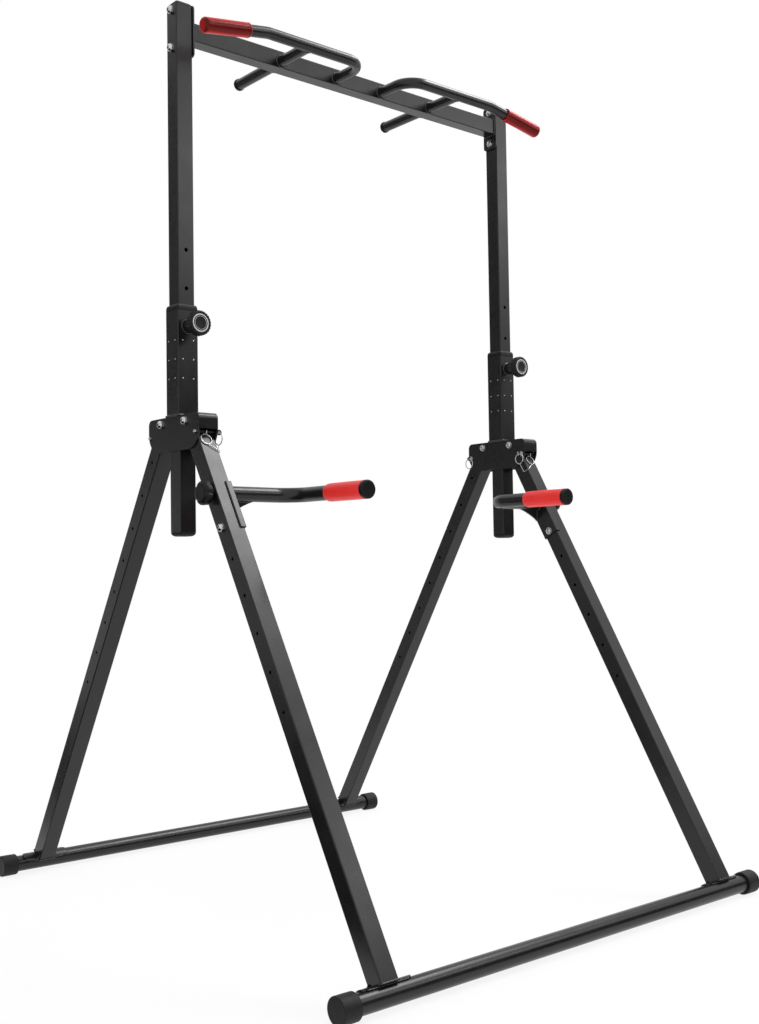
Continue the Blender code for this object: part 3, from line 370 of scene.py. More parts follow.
def carved(mesh, tools, operation="DIFFERENCE"):
    # cut each tool out of the mesh, or join it on
    body = scratch(mesh)
    held = [scratch(tool) for tool in tools]
    for tool in held:
        step = body.modifiers.new("carve", "BOOLEAN")
        step.operation = operation
        step.solver = "MANIFOLD"
        step.object = tool
    made = meshOf(body)
    for tool in held:
        bpy.data.objects.remove(tool, do_unlink=True)
    return made


def softened(mesh, width, segments=2):
    # a fine round on every hard edge, so that it catches the light
    body = scratch(mesh)
    soften = body.modifiers.new("soften", "BEVEL")
    soften.width = width
    soften.segments = segments
    soften.limit_method = "ANGLE"
    soften.angle_limit = math.radians(35)
    return meshOf(body)


def merged(*meshes):
    shape = bmesh.new()
    for mesh in meshes:
        shape.from_mesh(mesh)
    return meshFrom(shape)


def rod(start, end, radius, steps=24):
    # a plain round cutter between two points
    start, end = Vector(start), Vector(end)
    length = (end - start).length
    mesh = turned([(0, 0), (radius, 0), (radius, length), (0, length)], steps)
    return placed(mesh, along(start, end - start))


def rodAcross(centre, half, radius, steps=24):
    # a round cutter along X that reaches that far to both sides of its centre
    x, y, z = centre
    return rod((x - half, y, z), (x + half, y, z), radius, steps)


def onPost(height):
    # a frame on the right post's axis
    return Matrix.Translation((postX, mastY, height))


def mirroredMesh(mesh):
    # the same shape on the other side of X = 0
    shape = bmesh.new()
    shape.from_mesh(mesh)
    bmesh.ops.transform(shape, matrix=Matrix.Diagonal((-1.0, 1.0, 1.0, 1.0)), verts=shape.verts)
    bmesh.ops.reverse_faces(shape, faces=shape.faces)
    return meshFrom(shape, mesh.copy())


def addPiece(name, mesh, material, body, node=None, sharp=32):
    # one finished piece: smooth, in its finish, riding on its body
    mesh.materials.clear()
    mesh.materials.append(material)
    mesh.shade_smooth()
    mesh.set_sharp_from_angle(angle=math.radians(sharp))
    # large flat faces keep their own normal beside their rounded edges
    maker = scratch(mesh)
    even = maker.modifiers.new("even", "WEIGHTED_NORMAL")
    even.keep_sharp = True
    evened = meshOf(maker)
    evened.name = name
    made = newObject(name, evened)
    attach(made, body)
    if node:
        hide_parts(node)


def addPair(name, mesh, material, body, node=None, sharp=32):
    # the right piece and its mirror on the left; {side} stands in the names
    for side, shape in (("right", mesh.copy()), ("left", mirroredMesh(mesh))):
        addPiece(name.format(side=side), shape, material, body.format(side=side),
                 node and node.format(side=side), sharp)


# Geometry Nodes trees for what repeats or follows a path.


def newTree(name, sockets):
    tree = bpy.data.node_groups.new(name, "GeometryNodeTree")
    tree.interface.new_socket("Geometry", in_out="INPUT", socket_type="NodeSocketGeometry")
    for label, kind in sockets:
        tree.interface.new_socket(label, in_out="INPUT", socket_type=kind)
    tree.interface.new_socket("Finish", in_out="INPUT", socket_type="NodeSocketMaterial")
    tree.interface.new_socket("Geometry", in_out="OUTPUT", socket_type="NodeSocketGeometry")
    return tree, addNode(tree, "NodeGroupInput").outputs


def closeTree(tree, geometry, finish):
    real = addNode(tree, "GeometryNodeRealizeInstances", {"Geometry": geometry})
    dressed = addNode(tree, "GeometryNodeSetMaterial", {"Geometry": real.outputs[0], "Material": finish})
    addNode(tree, "NodeGroupOutput", {0: dressed.outputs[0]})
    return tree


def runTree(tree, data, values):
    # evaluate the tree on the data with its named inputs, and give back a plain mesh
    maker = scratch(data)
    step = maker.modifiers.new(tree.name, "NODES")
    step.node_group = tree
    for socket in tree.interface.items_tree:
        if socket.in_out == "INPUT" and socket.name in values:
            step[socket.identifier] = values[socket.name]
    return meshOf(maker)


def bentTubeTree():
    # corners of a path -> round bends -> a round bar; each corner's bend is the point's radius
    tree, given = newTree("bentTube", (("Tube radius", "NodeSocketFloat"), ("Bend steps", "NodeSocketInt"),
                                       ("Sides", "NodeSocketInt")))
    bend = addNode(tree, "GeometryNodeInputRadius")
    bent = addNode(tree, "GeometryNodeFilletCurve", {
        "Curve": given["Geometry"], "Count": given["Bend steps"], "Radius": bend.outputs[0],
        "Limit Radius": True}, mode="POLY")
    even = addNode(tree, "GeometryNodeSetCurveRadius", {"Curve": bent.outputs[0], "Radius": 1.0})
    section = addNode(tree, "GeometryNodeCurvePrimitiveCircle", {
        "Resolution": given["Sides"], "Radius": given["Tube radius"]}, mode="RADIUS")
    bar = addNode(tree, "GeometryNodeCurveToMesh", {
        "Curve": even.outputs[0], "Profile Curve": section.outputs[0], "Fill Caps": True})
    return closeTree(tree, bar.outputs[0], given["Finish"])


def weldBeadTree():
    # a seam's path -> a bead whose width ripples as the welder's puddle froze
    tree, given = newTree("weldBead", (("Bead radius", "NodeSocketFloat"), ("Ripple pitch", "NodeSocketFloat"),
                                       ("Ripple depth", "NodeSocketFloat"), ("Unevenness", "NodeSocketFloat"),
                                       ("Seed", "NodeSocketFloat")))
    fine = addNode(tree, "ShaderNodeMath", {0: given["Ripple pitch"], 1: 5.0}, operation="DIVIDE")
    path = addNode(tree, "GeometryNodeResampleCurve", {
        "Curve": given["Geometry"], "Length": fine.outputs[0]}, mode="LENGTH")
    travel = addNode(tree, "GeometryNodeSplineParameter")
    phase = addNode(tree, "ShaderNodeMath", {0: travel.outputs["Length"], 1: given["Ripple pitch"]},
                    operation="DIVIDE")
    turn = addNode(tree, "ShaderNodeMath", {0: phase.outputs[0], 1: math.pi}, operation="MULTIPLY")
    wave = addNode(tree, "ShaderNodeMath", {0: turn.outputs[0]}, operation="SINE")
    crest = addNode(tree, "ShaderNodeMath", {0: wave.outputs[0]}, operation="ABSOLUTE")
    place = addNode(tree, "GeometryNodeInputPosition")
    lumps = addNode(tree, "ShaderNodeTexNoise", {
        "Vector": place.outputs[0], "W": given["Seed"], "Scale": perMetre(9.0), "Detail": 2.0},
        noise_dimensions="4D")
    swell = addNode(tree, "ShaderNodeMath", {0: lumps.outputs[0], 1: 0.5}, operation="SUBTRACT")
    drift = addNode(tree, "ShaderNodeMath", {0: swell.outputs[0], 1: given["Unevenness"]}, operation="MULTIPLY")
    ripple = addNode(tree, "ShaderNodeMath", {0: crest.outputs[0], 1: given["Ripple depth"], 2: 1.0},
                     operation="MULTIPLY_ADD")
    width = addNode(tree, "ShaderNodeMath", {0: ripple.outputs[0], 1: drift.outputs[0]}, operation="ADD")
    swollen = addNode(tree, "GeometryNodeSetCurveRadius", {
        "Curve": path.outputs[0], "Radius": width.outputs[0]})
    section = addNode(tree, "GeometryNodeCurvePrimitiveCircle", {
        "Resolution": 10, "Radius": given["Bead radius"]}, mode="RADIUS")
    bead = addNode(tree, "GeometryNodeCurveToMesh", {
        "Curve": swollen.outputs[0], "Profile Curve": section.outputs[0], "Fill Caps": True})
    return closeTree(tree, bead.outputs[0], given["Finish"])


def rivetTree():
    # a button head on each point, facing the way that the point's "outward" says
    tree, given = newTree("buttonRivets", (
        ("Head radius", "NodeSocketFloat"), ("Head height", "NodeSocketFloat")))
    ball = addNode(tree, "GeometryNodeMeshUVSphere", {"Segments": 20, "Rings": 12, "Radius": 1.0})
    size = addNode(tree, "ShaderNodeCombineXYZ", {
        "X": given["Head radius"], "Y": given["Head radius"], "Z": given["Head height"]})
    head = addNode(tree, "GeometryNodeTransform", {"Geometry": ball.outputs[0], "Scale": size.outputs[0]})
    way = addNode(tree, "GeometryNodeInputNamedAttribute", {"Name": "outward"}, data_type="FLOAT_VECTOR")
    aim = addNode(tree, "FunctionNodeAlignRotationToVector", {"Vector": way.outputs[0]}, axis="Z")
    heads = addNode(tree, "GeometryNodeInstanceOnPoints", {
        "Points": given["Geometry"], "Instance": head.outputs[0], "Rotation": aim.outputs[0]})
    return closeTree(tree, heads.outputs[0], given["Finish"])


def fluteTree():
    # shallow hollows round a knob's rim: points past the start radius move in, in waves
    tree, given = newTree("knobFlutes", (
        ("Flutes", "NodeSocketFloat"), ("Flute depth", "NodeSocketFloat"),
        ("Start radius", "NodeSocketFloat"), ("Full radius", "NodeSocketFloat")))
    place = addNode(tree, "GeometryNodeInputPosition")
    parts = addNode(tree, "ShaderNodeSeparateXYZ", {0: place.outputs[0]})
    angle = addNode(tree, "ShaderNodeMath", {0: parts.outputs["Y"], 1: parts.outputs["X"]}, operation="ARCTAN2")
    turn = addNode(tree, "ShaderNodeMath", {0: angle.outputs[0], 1: given["Flutes"]}, operation="MULTIPLY")
    wave = addNode(tree, "ShaderNodeMath", {0: turn.outputs[0]}, operation="COSINE")
    hollow = addNode(tree, "ShaderNodeMapRange", {
        "Value": wave.outputs[0], "From Min": -0.2, "From Max": 1.0}, interpolation_type="SMOOTHSTEP")
    flat = addNode(tree, "ShaderNodeCombineXYZ", {"X": parts.outputs["X"], "Y": parts.outputs["Y"]})
    reach = addNode(tree, "ShaderNodeVectorMath", {0: flat.outputs[0]}, operation="LENGTH")
    rim = addNode(tree, "ShaderNodeMapRange", {
        "Value": reach.outputs["Value"], "From Min": given["Start radius"], "From Max": given["Full radius"]},
        interpolation_type="SMOOTHSTEP")
    share = addNode(tree, "ShaderNodeMath", {0: hollow.outputs[0], 1: rim.outputs[0]}, operation="MULTIPLY")
    depth = addNode(tree, "ShaderNodeMath", {0: share.outputs[0], 1: given["Flute depth"]},
                    operation="MULTIPLY")
    inward = addNode(tree, "ShaderNodeMath", {0: depth.outputs[0], 1: -1.0}, operation="MULTIPLY")
    way = addNode(tree, "ShaderNodeVectorMath", {0: flat.outputs[0]}, operation="NORMALIZE")
    step = addNode(tree, "ShaderNodeVectorMath", {0: way.outputs[0], "Scale": inward.outputs[0]},
                   operation="SCALE")
    moved = addNode(tree, "GeometryNodeSetPosition", {"Geometry": given["Geometry"], "Offset": step.outputs[0]})
    return closeTree(tree, moved.outputs[0], given["Finish"])


bentTubes = bentTubeTree()
weldBeads = weldBeadTree()
buttonRivets = rivetTree()
knobFlutes = fluteTree()


def pathCurve(corners, bends=None, cyclic=False):
    # a polyline curve; bends holds each corner's bend radius
    curve = bpy.data.curves.new("path", "CURVE")
    curve.dimensions = "3D"
    spline = curve.splines.new("POLY")
    spline.points.add(len(corners) - 1)
    for index, corner in enumerate(corners):
        spline.points[index].co = (*corner, 1.0)
        spline.points[index].radius = bends[index] if bends else 1.0
    spline.use_cyclic_u = cyclic
    return curve


def bentTube(corners, bends, radius, sides=32, steps=14):
    return placed(runTree(bentTubes, pathCurve(corners, bends), {
        "Tube radius": radius, "Bend steps": steps, "Sides": sides, "Finish": powderCoat}))


def flutedKnob(profile, steps, count, depth, start):
    # start is where the hollows begin, as a share of the knob's radius
    radius = max(point[0] for point in profile)
    return runTree(knobFlutes, turned(profile, steps), {
        "Flutes": float(count), "Flute depth": depth, "Start radius": radius * start,
        "Full radius": radius * 0.97, "Finish": mouldedNylon})


ripplePitch = 0.0022  # how far the welder moves on between two puddles


def weld(corners, radius, seed, cyclic=True, depth=0.28, uneven=0.5):
    return placed(runTree(weldBeads, pathCurve(corners, None, cyclic), {
        "Bead radius": radius, "Ripple pitch": ripplePitch, "Ripple depth": depth, "Unevenness": uneven,
        "Seed": float(seed), "Finish": weldCoat}))


alongX, alongY, upwards = Vector((1, 0, 0)), Vector((0, 1, 0)), Vector((0, 0, 1))


def ringPath(centre, across, radius, steps=40):
    # an upright circle, with across as its level direction
    found = []
    for index in range(steps):
        angle = math.radians(360 * index / steps)
        level, rise = math.cos(angle), math.sin(angle)
        found.append(Vector(centre) + across * radius * level + upwards * radius * rise)
    return found


print("trees built")

# Mast: posts, caps and plugs.

post = {"wall": 0.002, "corner": 0.0025, "holeRadius": 0.0045, "holePitch": 0.0835, "holesEachWay": 2}
postBottom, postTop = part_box("post_right")[0].z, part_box("post_right")[1].z
lockZ = middle("lock_knob_right").z


def makePost():
    tube = squareTube(postWidth, postWidth, post["wall"], post["corner"], postBottom, postTop)
    tools = []
    for step in range(-post["holesEachWay"], post["holesEachWay"] + 1):
        level = lockZ + step * post["holePitch"]
        tools.append(rod((postX, mastY - postWidth, level), (postX, mastY, level), post["holeRadius"]))
    return softened(carved(placed(tube, onPost(0)), tools), 0.0004)


addPair("mast_post_{side}", makePost(), powderCoat, "mast", "post_{side}")


def stack(sections, closed=False):
    # a skin through rounded squares: (height, half width, corner radius)
    return loft([[(x, y, z) for x, y in roundedRect(2 * half, 2 * half, radius, 6)]
                 for z, half, radius in sections], closed)


postEnds = {"corner": 0.0025, "tailCorner": 0.002, "rim": 0.001, "edge": 0.0004, "crown": 82.5,
            "crownCorner": 0.012, "tail": 0.004}
postHalf = postWidth / 2
tailHalf = postHalf - post["wall"] - clearance


def makePostCap():
    corner, inside, edge = postEnds["corner"], postEnds["tailCorner"], postEnds["edge"]
    base = postTop + clearance
    rim, crown = postEnds["rim"], postEnds["crown"]
    dome = (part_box("post_cap_right")[1].z - base - rim) / math.sin(math.radians(crown))
    sections = [(-rim, tailHalf, inside), (0.0, tailHalf, inside), (0.0, postHalf - edge, corner),
                (edge, postHalf, corner)]
    for sine, cosine in quarter(11, 1, crown):
        sections.append((rim + dome * sine, postHalf * cosine ** 0.7,
                         corner + postEnds["crownCorner"] * sine ** 4 * cosine))
    return placed(stack(sections), onPost(base))


def makePostPlug():
    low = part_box("post_plug_right")[0].z
    high = postBottom - clearance
    radius = high - low
    sections = []
    for sine, cosine in quarter(8):
        inset = radius * (1 - sine)
        corner = max(postEnds["corner"] - inset * 0.1, 0.0015)
        sections.append((low + radius * (1 - cosine), postHalf - inset, corner))
    inside = postEnds["tailCorner"]
    sections += [(high, tailHalf, inside), (high + postEnds["tail"], tailHalf, inside)]
    return placed(stack(sections), onPost(0))


addPair("mast_cap_{side}", makePostCap(), mouldedNylon, "mast", "post_cap_{side}")
addPair("mast_plug_{side}", makePostPlug(), mouldedNylon, "mast", "post_plug_{side}")

# Crossbar with its bolting plates, and the welds on it.

bar = {"height": 0.040, "depth": 0.035, "wall": 0.002, "corner": 0.002, "plate": 0.004,
       "plateWidth": 0.0455, "plateHeight": 0.1145, "plateCorner": 0.008}
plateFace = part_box("crossbar")[1].x
barHalf = plateFace - bar["plate"]
acrossPlane = axes((0, mastY, barZ), alongY, upwards)


def makeCrossbar():
    reach = barHalf + 0.0002  # into the plates, so that bar and plates join
    tube = squareTube(bar["depth"], bar["height"], bar["wall"], bar["corner"], -reach, reach)
    outline = roundedRect(bar["plateWidth"], bar["plateHeight"], bar["plateCorner"], 8)
    tools = [prism(outline, -barHalf - bar["plate"], -barHalf),
             prism(outline, barHalf, barHalf + bar["plate"])]
    return softened(placed(carved(tube, tools, "UNION"), acrossPlane), 0.0006)


addPiece("crossbar_tube", makeCrossbar(), powderCoat, "mast", "crossbar")

# Multi-grip handles: a bent front tube and a straight neutral bar on each side.

handle = {"radius": 0.0127, "innerX": 0.070, "reach": 0.122, "bend": 0.050, "kinkX": 0.344, "kinkBend": 0.058,
          "endX": 0.5107, "endReach": 0.127, "endDrop": 0.0306, "rise": -0.0045}
handleZ = barZ + handle["rise"]
barFace = mastY - bar["depth"] / 2
handleCorners = [
    (handle["innerX"], barFace - clearance, handleZ),
    (handle["innerX"], mastY - handle["reach"], handleZ),
    (handle["kinkX"], mastY - handle["reach"], handleZ),
    (handle["endX"], mastY - handle["endReach"], handleZ - handle["endDrop"])]
handleTube = bentTube(handleCorners, (0.0, handle["bend"], handle["kinkBend"], 0.0), handle["radius"])
addPair("pull_handle_tube_{side}", handleTube, powderCoat, "mast", "pull_handle_{side}")

topGrip = {"radius": 0.0165, "length": 0.120, "tip": 0.0035, "edge": 0.007, "bead": 0.0006}


def makeTopGrip():
    start, end = Vector(handleCorners[2]), Vector(handleCorners[3])
    way = (end - start).normalized()
    tip = end + way * (clearance + topGrip["tip"])
    radius, edge, length = topGrip["radius"], topGrip["edge"], topGrip["length"]
    profile = [(0.0, 0.0)]
    for sine, cosine in quarter(12, 1):
        profile.append((radius - edge * (1 - sine), -edge * (1 - cosine)))
    for step in range(1, 24):
        # the dip leaves the skin a hair thicker towards the tip
        share = step / 24
        profile.append((radius - 0.0005 * share, -edge - (length - edge - 0.004) * share))
    mouth = radius - 0.0008
    profile += [(mouth, 0.004 - length), (mouth + topGrip["bead"], 0.0025 - length), (mouth, 0.0008 - length),
                (mouth - 0.0010, -length), (handle["radius"] + clearance, -length + 0.0002),
                (handle["radius"] + clearance, -topGrip["tip"]), (0.0, -topGrip["tip"])]
    return placed(turned(profile, 40), along(tip, way))


addPair("pull_grip_sleeve_{side}", makeTopGrip(), dippedVinyl, "mast", "pull_grip_{side}")

neutral = {"x": 0.232, "rear": 0.153, "capLength": 0.009, "capWall": 0.0015, "capEdge": 0.004}


def makeNeutralBar():
    start = (neutral["x"], mastY - handle["reach"], handleZ)
    end = (neutral["x"], mastY + neutral["rear"], handleZ)
    straight = bentTube([start, end], (0.0, 0.0), handle["radius"])
    cope = rodAcross(start, 0.06, handle["radius"] + clearance, 32)
    return carved(straight, [cope])


def makeNeutralCap():
    rim, bore = handle["radius"] + neutral["capWall"], handle["radius"] - 0.0025
    length, edge = neutral["capLength"], neutral["capEdge"]
    profile = [(0.0, length)]
    profile += [(rim - edge * (1 - sine), length - edge * (1 - cosine)) for sine, cosine in quarter(8, 1)]
    profile += [(rim, 0.0006), (rim - 0.0005, 0.0), (bore, 0.0), (bore, -0.004), (0.0, -0.004)]
    place = (neutral["x"], mastY + neutral["rear"] + clearance, handleZ)
    return placed(turned(profile, 36), along(place, alongY))


addPair("neutral_bar_tube_{side}", makeNeutralBar(), powderCoat, "mast", "neutral_bar_{side}")
addPair("neutral_bar_cap_{side}", makeNeutralCap(), mouldedNylon, "mast", "neutral_cap_{side}")


beadSeat = 0.0008  # how far outside a tube its bead's middle runs
beadRadius = {"handle": 0.0022, "endPlate": 0.0022, "neutral": 0.002, "sleeve": 0.0028, "boss": 0.0023,
              "leg": 0.0015, "footPlate": 0.0012, "dip": 0.0025, "web": 0.0019}


def squareSeam(width, depth, corner):
    # the line of a bead round a square tube, half a millimetre outside it
    return roundedRect(width + 0.001, depth + 0.001, corner, 4)


def mastWelds():
    # fillets round each handle's end, each neutral bar's passage and the bolting plates
    beads = []
    radius = handle["radius"]
    seams = ((handle["innerX"], barFace), (neutral["x"], barFace), (neutral["x"], mastY + bar["depth"] / 2))
    for index, (x, y) in enumerate(seams):
        beads.append(weld(ringPath((x, y, handleZ), alongX, radius + beadSeat), beadRadius["handle"],
                          3 + index))
    loop = squareSeam(bar["depth"], bar["height"], bar["corner"])
    beads.append(weld([(barHalf, mastY + a, barZ + b) for a, b in loop], beadRadius["endPlate"], 9))
    crossing = ringPath((neutral["x"], mastY - handle["reach"] + radius + 0.0002, handleZ), alongX,
                        radius * 0.96)
    shaped = []
    for point in crossing:
        # the bead follows the bar's hollowed end round the front tube
        rise = point.z - handleZ
        sink = radius - math.sqrt(max(radius ** 2 - rise ** 2, 0.0))
        shaped.append((point.x, point.y - sink, point.z))
    beads.append(weld(shaped, beadRadius["neutral"], 12))
    return merged(*beads)


addPair("mast_welds_{side}", mastWelds(), weldCoat, "mast", sharp=80)

# Bolts: a domed socket head outside, a domed nut and a washer inside.

boltLook = {"headRadius": 0.0095, "headHeight": 0.010, "dome": 0.93, "washer": 0.0008, "socket": 0.0035,
            "socketDepth": 0.0035, "socketTurn": 12, "facets": 6, "nut": 0.92, "nutDome": 0.78,
            "nutHeight": 0.0065, "shank": 0.005}


def makeBolt(node, inner, outer):
    # inner and outer are the X of the faces that the nut and the head bear on
    centre = middle(node)
    height, washer, shank = boltLook["headHeight"], boltLook["washer"], boltLook["shank"]
    headRadius = boltLook["headRadius"]
    domeRadius = headRadius * boltLook["dome"]
    profile = [(0.0, height)]
    for sine, cosine in quarter(12, 1, 84):
        profile.append((domeRadius * sine, washer + (height - washer) * (0.2 + 0.8 * cosine)))
    profile += [(domeRadius, washer), (headRadius, washer), (headRadius, 0.0), (0.0, 0.0)]
    socket = prism(polygon(boltLook["socket"], boltLook["facets"], boltLook["socketTurn"]),
                   height - boltLook["socketDepth"], height + 0.001)
    head = softened(carved(turned(profile, 40), [socket]), 0.0002)
    nutRadius, nutHeight = headRadius * boltLook["nut"], boltLook["nutHeight"]
    crown = nutRadius * boltLook["nutDome"]
    nut = prism(polygon(nutRadius, boltLook["facets"]), washer, nutHeight * 0.62)
    dome = [(0.0, nutHeight)]
    dome += [(crown * sine, nutHeight * (0.6 + 0.4 * cosine)) for sine, cosine in quarter(8, 1)]
    dome += [(crown, 0.001), (0.0, 0.001)]
    ring = turned([(shank, washer), (headRadius, washer), (headRadius, 0.0), (shank, 0.0)], 36, True)
    tail = merged(softened(carved(nut, [turned(dome, 32)], "UNION"), 0.0003), ring)
    return merged(placed(head, along((outer + clearance, centre.y, centre.z), alongX)),
                  placed(tail, along((inner - clearance, centre.y, centre.z), -alongX)))


bracketWidth = extent("hinge_bracket_right").x
plateOuter, plateInner = postX + bracketWidth / 2, postX - bracketWidth / 2
for end in ("front", "rear"):
    bolt = makeBolt(f"{end}_pivot_bolt_right", plateInner, plateOuter)
    addPair(end + "_pivot_bolt_set_{side}", bolt, zincPlate, "hinge_head", end + "_pivot_bolt_{side}")
for level in ("upper", "lower"):
    bolt = makeBolt(f"{level}_bar_bolt_right", barHalf, postX + postHalf)
    addPair(level + "_bar_bolt_set_{side}", bolt, zincPlate, "mast", level + "_bar_bolt_{side}")

print("mast made")

# Hinge head: folded bracket, sleeve, bushing and lock boss.

bracket = {"sheet": 0.003, "topRadius": 0.0125, "footRadius": 0.0435, "web": 0.0345, "fold": 0.0045,
           "slide": 0.0005, "pinHole": 0.0044, "pivotHole": 0.0053}
bracketLow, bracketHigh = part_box("hinge_bracket_right")
pivotZ = pivotOf["front"].z


def makeBracket():
    top, foot, sheet = bracket["topRadius"], bracket["footRadius"], bracket["sheet"]
    half = (bracketHigh.y - bracketLow.y) / 2
    centreY = (bracketHigh.y + bracketLow.y) / 2
    high, low = bracketHigh.z, bracketLow.z
    webLow = high - bracket["web"]
    side = arcPoints((half - top, high - top), top, 0, 90, 8)
    side += arcPoints((top - half, high - top), top, 90, 180, 8)
    side += arcPoints((foot - half, low + foot), foot, 180, 270, 14)
    side += arcPoints((half - foot, low + foot), foot, 270, 360, 14)
    plane = axes((postX, centreY, 0), alongY, upwards)
    width = bracketWidth / 2
    shell = prism(side, -width, width)
    # fold radius along the two long edges of the top and the webs
    edges = bmesh.new()
    edges.from_mesh(shell)
    weights = edges.edges.layers.float.new("bevel_weight_edge")
    for edge in edges.edges:
        first, second = (corner.co for corner in edge.verts)
        flat = abs(first.z - second.z) < 1e-6
        outer = max(abs(first.x), abs(second.x)) > half - 1e-5 or max(first.y, second.y) > high - top - 1e-5
        if flat and outer and min(first.y, second.y) > webLow - 0.012:
            edge[weights] = 1.0
    folded = scratch(meshFrom(edges, shell))
    fold = folded.modifiers.new("fold", "BEVEL")
    fold.limit_method = "WEIGHT"
    fold.width = bracket["fold"]
    fold.segments = 5
    shell = meshOf(folded)
    under, reach, bend = high - sheet, half - sheet, top - sheet
    hollow = arcPoints((reach - bend, under - bend), bend, 0, 90, 8)
    hollow += arcPoints((bend - reach, under - bend), bend, 90, 180, 8)
    hollow += [(-reach, low - sheet), (reach, low - sheet)]
    past = half + sheet
    mouth = [(-past, low - sheet), (past, low - sheet), (past, webLow), (-past, webLow)]
    inside = width - sheet
    tools = [prism(hollow, -inside, inside), prism(mouth, -inside, inside)]
    shell = placed(carved(placed(shell), [placed(tool) for tool in tools]), plane)
    passage = postWidth + 2 * bracket["slide"]
    holes = [placed(prism(roundedRect(passage, passage, post["corner"]), -0.01, 0.01),
                    onPost(high - sheet / 2))]
    for end in ("front", "rear"):
        pin = middle(f"{end}_stop_pin_right")
        for x in (plateInner, plateOuter):
            holes.append(rodAcross((x, pin.y, pinZ[end]), 0.005, bracket["pinHole"]))
            holes.append(rodAcross((x, pivotOf[end].y, pivotZ), 0.005, bracket["pivotHole"]))
    return softened(carved(shell, holes), 0.0005)


# A stop pin's axis height: its eye and collar are round about the axis, so its box's middle is on it.
pinZ = {end: middle(f"{end}_stop_pin_right").z for end in ("front", "rear")}
addPair("folded_bracket_{side}", makeBracket(), powderCoat, "hinge_head", "hinge_bracket_{side}")

sleeve = {"width": 0.050, "wall": 0.0025, "corner": 0.0025, "bossRadius": 0.0165, "bossLength": 0.033,
          "bossFoot": 0.86, "bossBore": 0.0044, "bore": 0.0043, "rivetRows": (-0.030, -0.071, -0.112),
          "rivetAcross": 0.013, "rivetRadius": 0.0017, "rivetHeight": 0.0010}
sleeveLow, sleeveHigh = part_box("sleeve_right")
sleeveFace = mastY - sleeve["width"] / 2


def makeSleeve():
    width = sleeve["width"]
    tube = squareTube(width, width, sleeve["wall"], sleeve["corner"], sleeveLow.z, sleeveHigh.z)
    bore = rod((postX, sleeveFace - 0.01, lockZ), (postX, mastY, lockZ), sleeve["bore"])
    return softened(carved(placed(tube, onPost(0)), [bore]), 0.0005)


def makeBoss():
    radius, length, bore = sleeve["bossRadius"], sleeve["bossLength"], sleeve["bossBore"]
    profile = [(bore, length), (radius * 0.8, length), (radius * 0.95, length - 0.0008),
               (radius, length - 0.003), (radius * sleeve["bossFoot"], 0.0), (bore, 0.0)]
    return placed(turned(profile, 40, True), along((postX, sleeveFace, lockZ), -alongY))


def sleeveRivets():
    # pressed pips that hold the plastic liner: two columns on each of the four faces
    points, ways = [], []
    for drop in sleeve["rivetRows"]:
        row = Vector((postX, mastY, lockZ + drop))
        for turn in range(4):
            face = Matrix.Rotation(math.radians(90 * turn), 3, "Z")
            way, across = face @ Vector((0, -1, 0)), face @ Vector((1, 0, 0))
            for side in (-1, 1):
                points.append(row + way * sleeve["width"] / 2 + across * side * sleeve["rivetAcross"])
                ways += list(way)
    mesh = bpy.data.meshes.new("rivets")
    mesh.from_pydata([tuple(point) for point in points], [], [])
    mesh.attributes.new("outward", "FLOAT_VECTOR", "POINT").data.foreach_set("vector", ways)
    return runTree(buttonRivets, mesh, {
        "Head radius": sleeve["rivetRadius"], "Head height": sleeve["rivetHeight"], "Finish": zincPlate})


addPair("guide_sleeve_{side}", makeSleeve(), powderCoat, "hinge_head", "sleeve_{side}")
addPair("lock_boss_{side}", makeBoss(), powderCoat, "hinge_head")
addPair("sleeve_pips_{side}", sleeveRivets(), zincPlate, "hinge_head", sharp=60)


def makeBushing():
    half, corner = sleeve["width"] / 2, sleeve["corner"]
    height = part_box("sleeve_bushing_right")[1].z - sleeveHigh.z - clearance
    wall = 0.0015
    crown = half - postHalf - wall
    bore = postHalf + clearance
    outer = [(0.0, half - 0.0004, corner), (0.0004, half, corner), (height * 0.3, half, corner)]
    for sine, cosine in quarter(12, 1, 87):
        outer.append((height * (0.3 + 0.7 * sine), half - crown * (1 - cosine), corner))
    foot = -0.02
    inner = [(height, bore, corner), (foot, bore, corner), (foot, bore + wall, corner),
             (0.0, bore + wall, corner)]
    return placed(stack(outer + inner, closed=True), onPost(sleeveHigh.z + clearance))


addPair("sleeve_collar_{side}", makeBushing(), mouldedNylon, "hinge_head", "sleeve_bushing_{side}")


def headWelds():
    beads = []
    loop = squareSeam(sleeve["width"], sleeve["width"], sleeve["corner"])
    seam = [(postX + a, mastY + b, sleeveLow.z + 0.0006) for a, b in loop]
    beads.append(weld(seam, beadRadius["sleeve"], 21, uneven=0.8))
    foot = sleeve["bossRadius"] * sleeve["bossFoot"]
    circle = ringPath((postX, sleeveFace, lockZ), alongX, foot + 0.0006)
    beads.append(weld(circle, beadRadius["boss"], 22))
    return merged(*beads)


addPair("head_welds_{side}", headWelds(), weldCoat, "hinge_head", sharp=80)

# Lock knobs: a fluted nylon head on a sprung plunger, with a plain printed ring on its face.

lockKnob = {"radius": 0.027, "length": 0.019, "edge": 0.005, "waist": 0.0006, "flutes": 24,
            "fluteDepth": 0.0012, "plunger": 0.0378, "rings": ((0.0192, 0.0170), (0.0144, 0.0138)),
            "ink": 0.00008}
lockPlace = along((postX, sleeveFace - sleeve["bossLength"] - clearance, lockZ), -alongY)


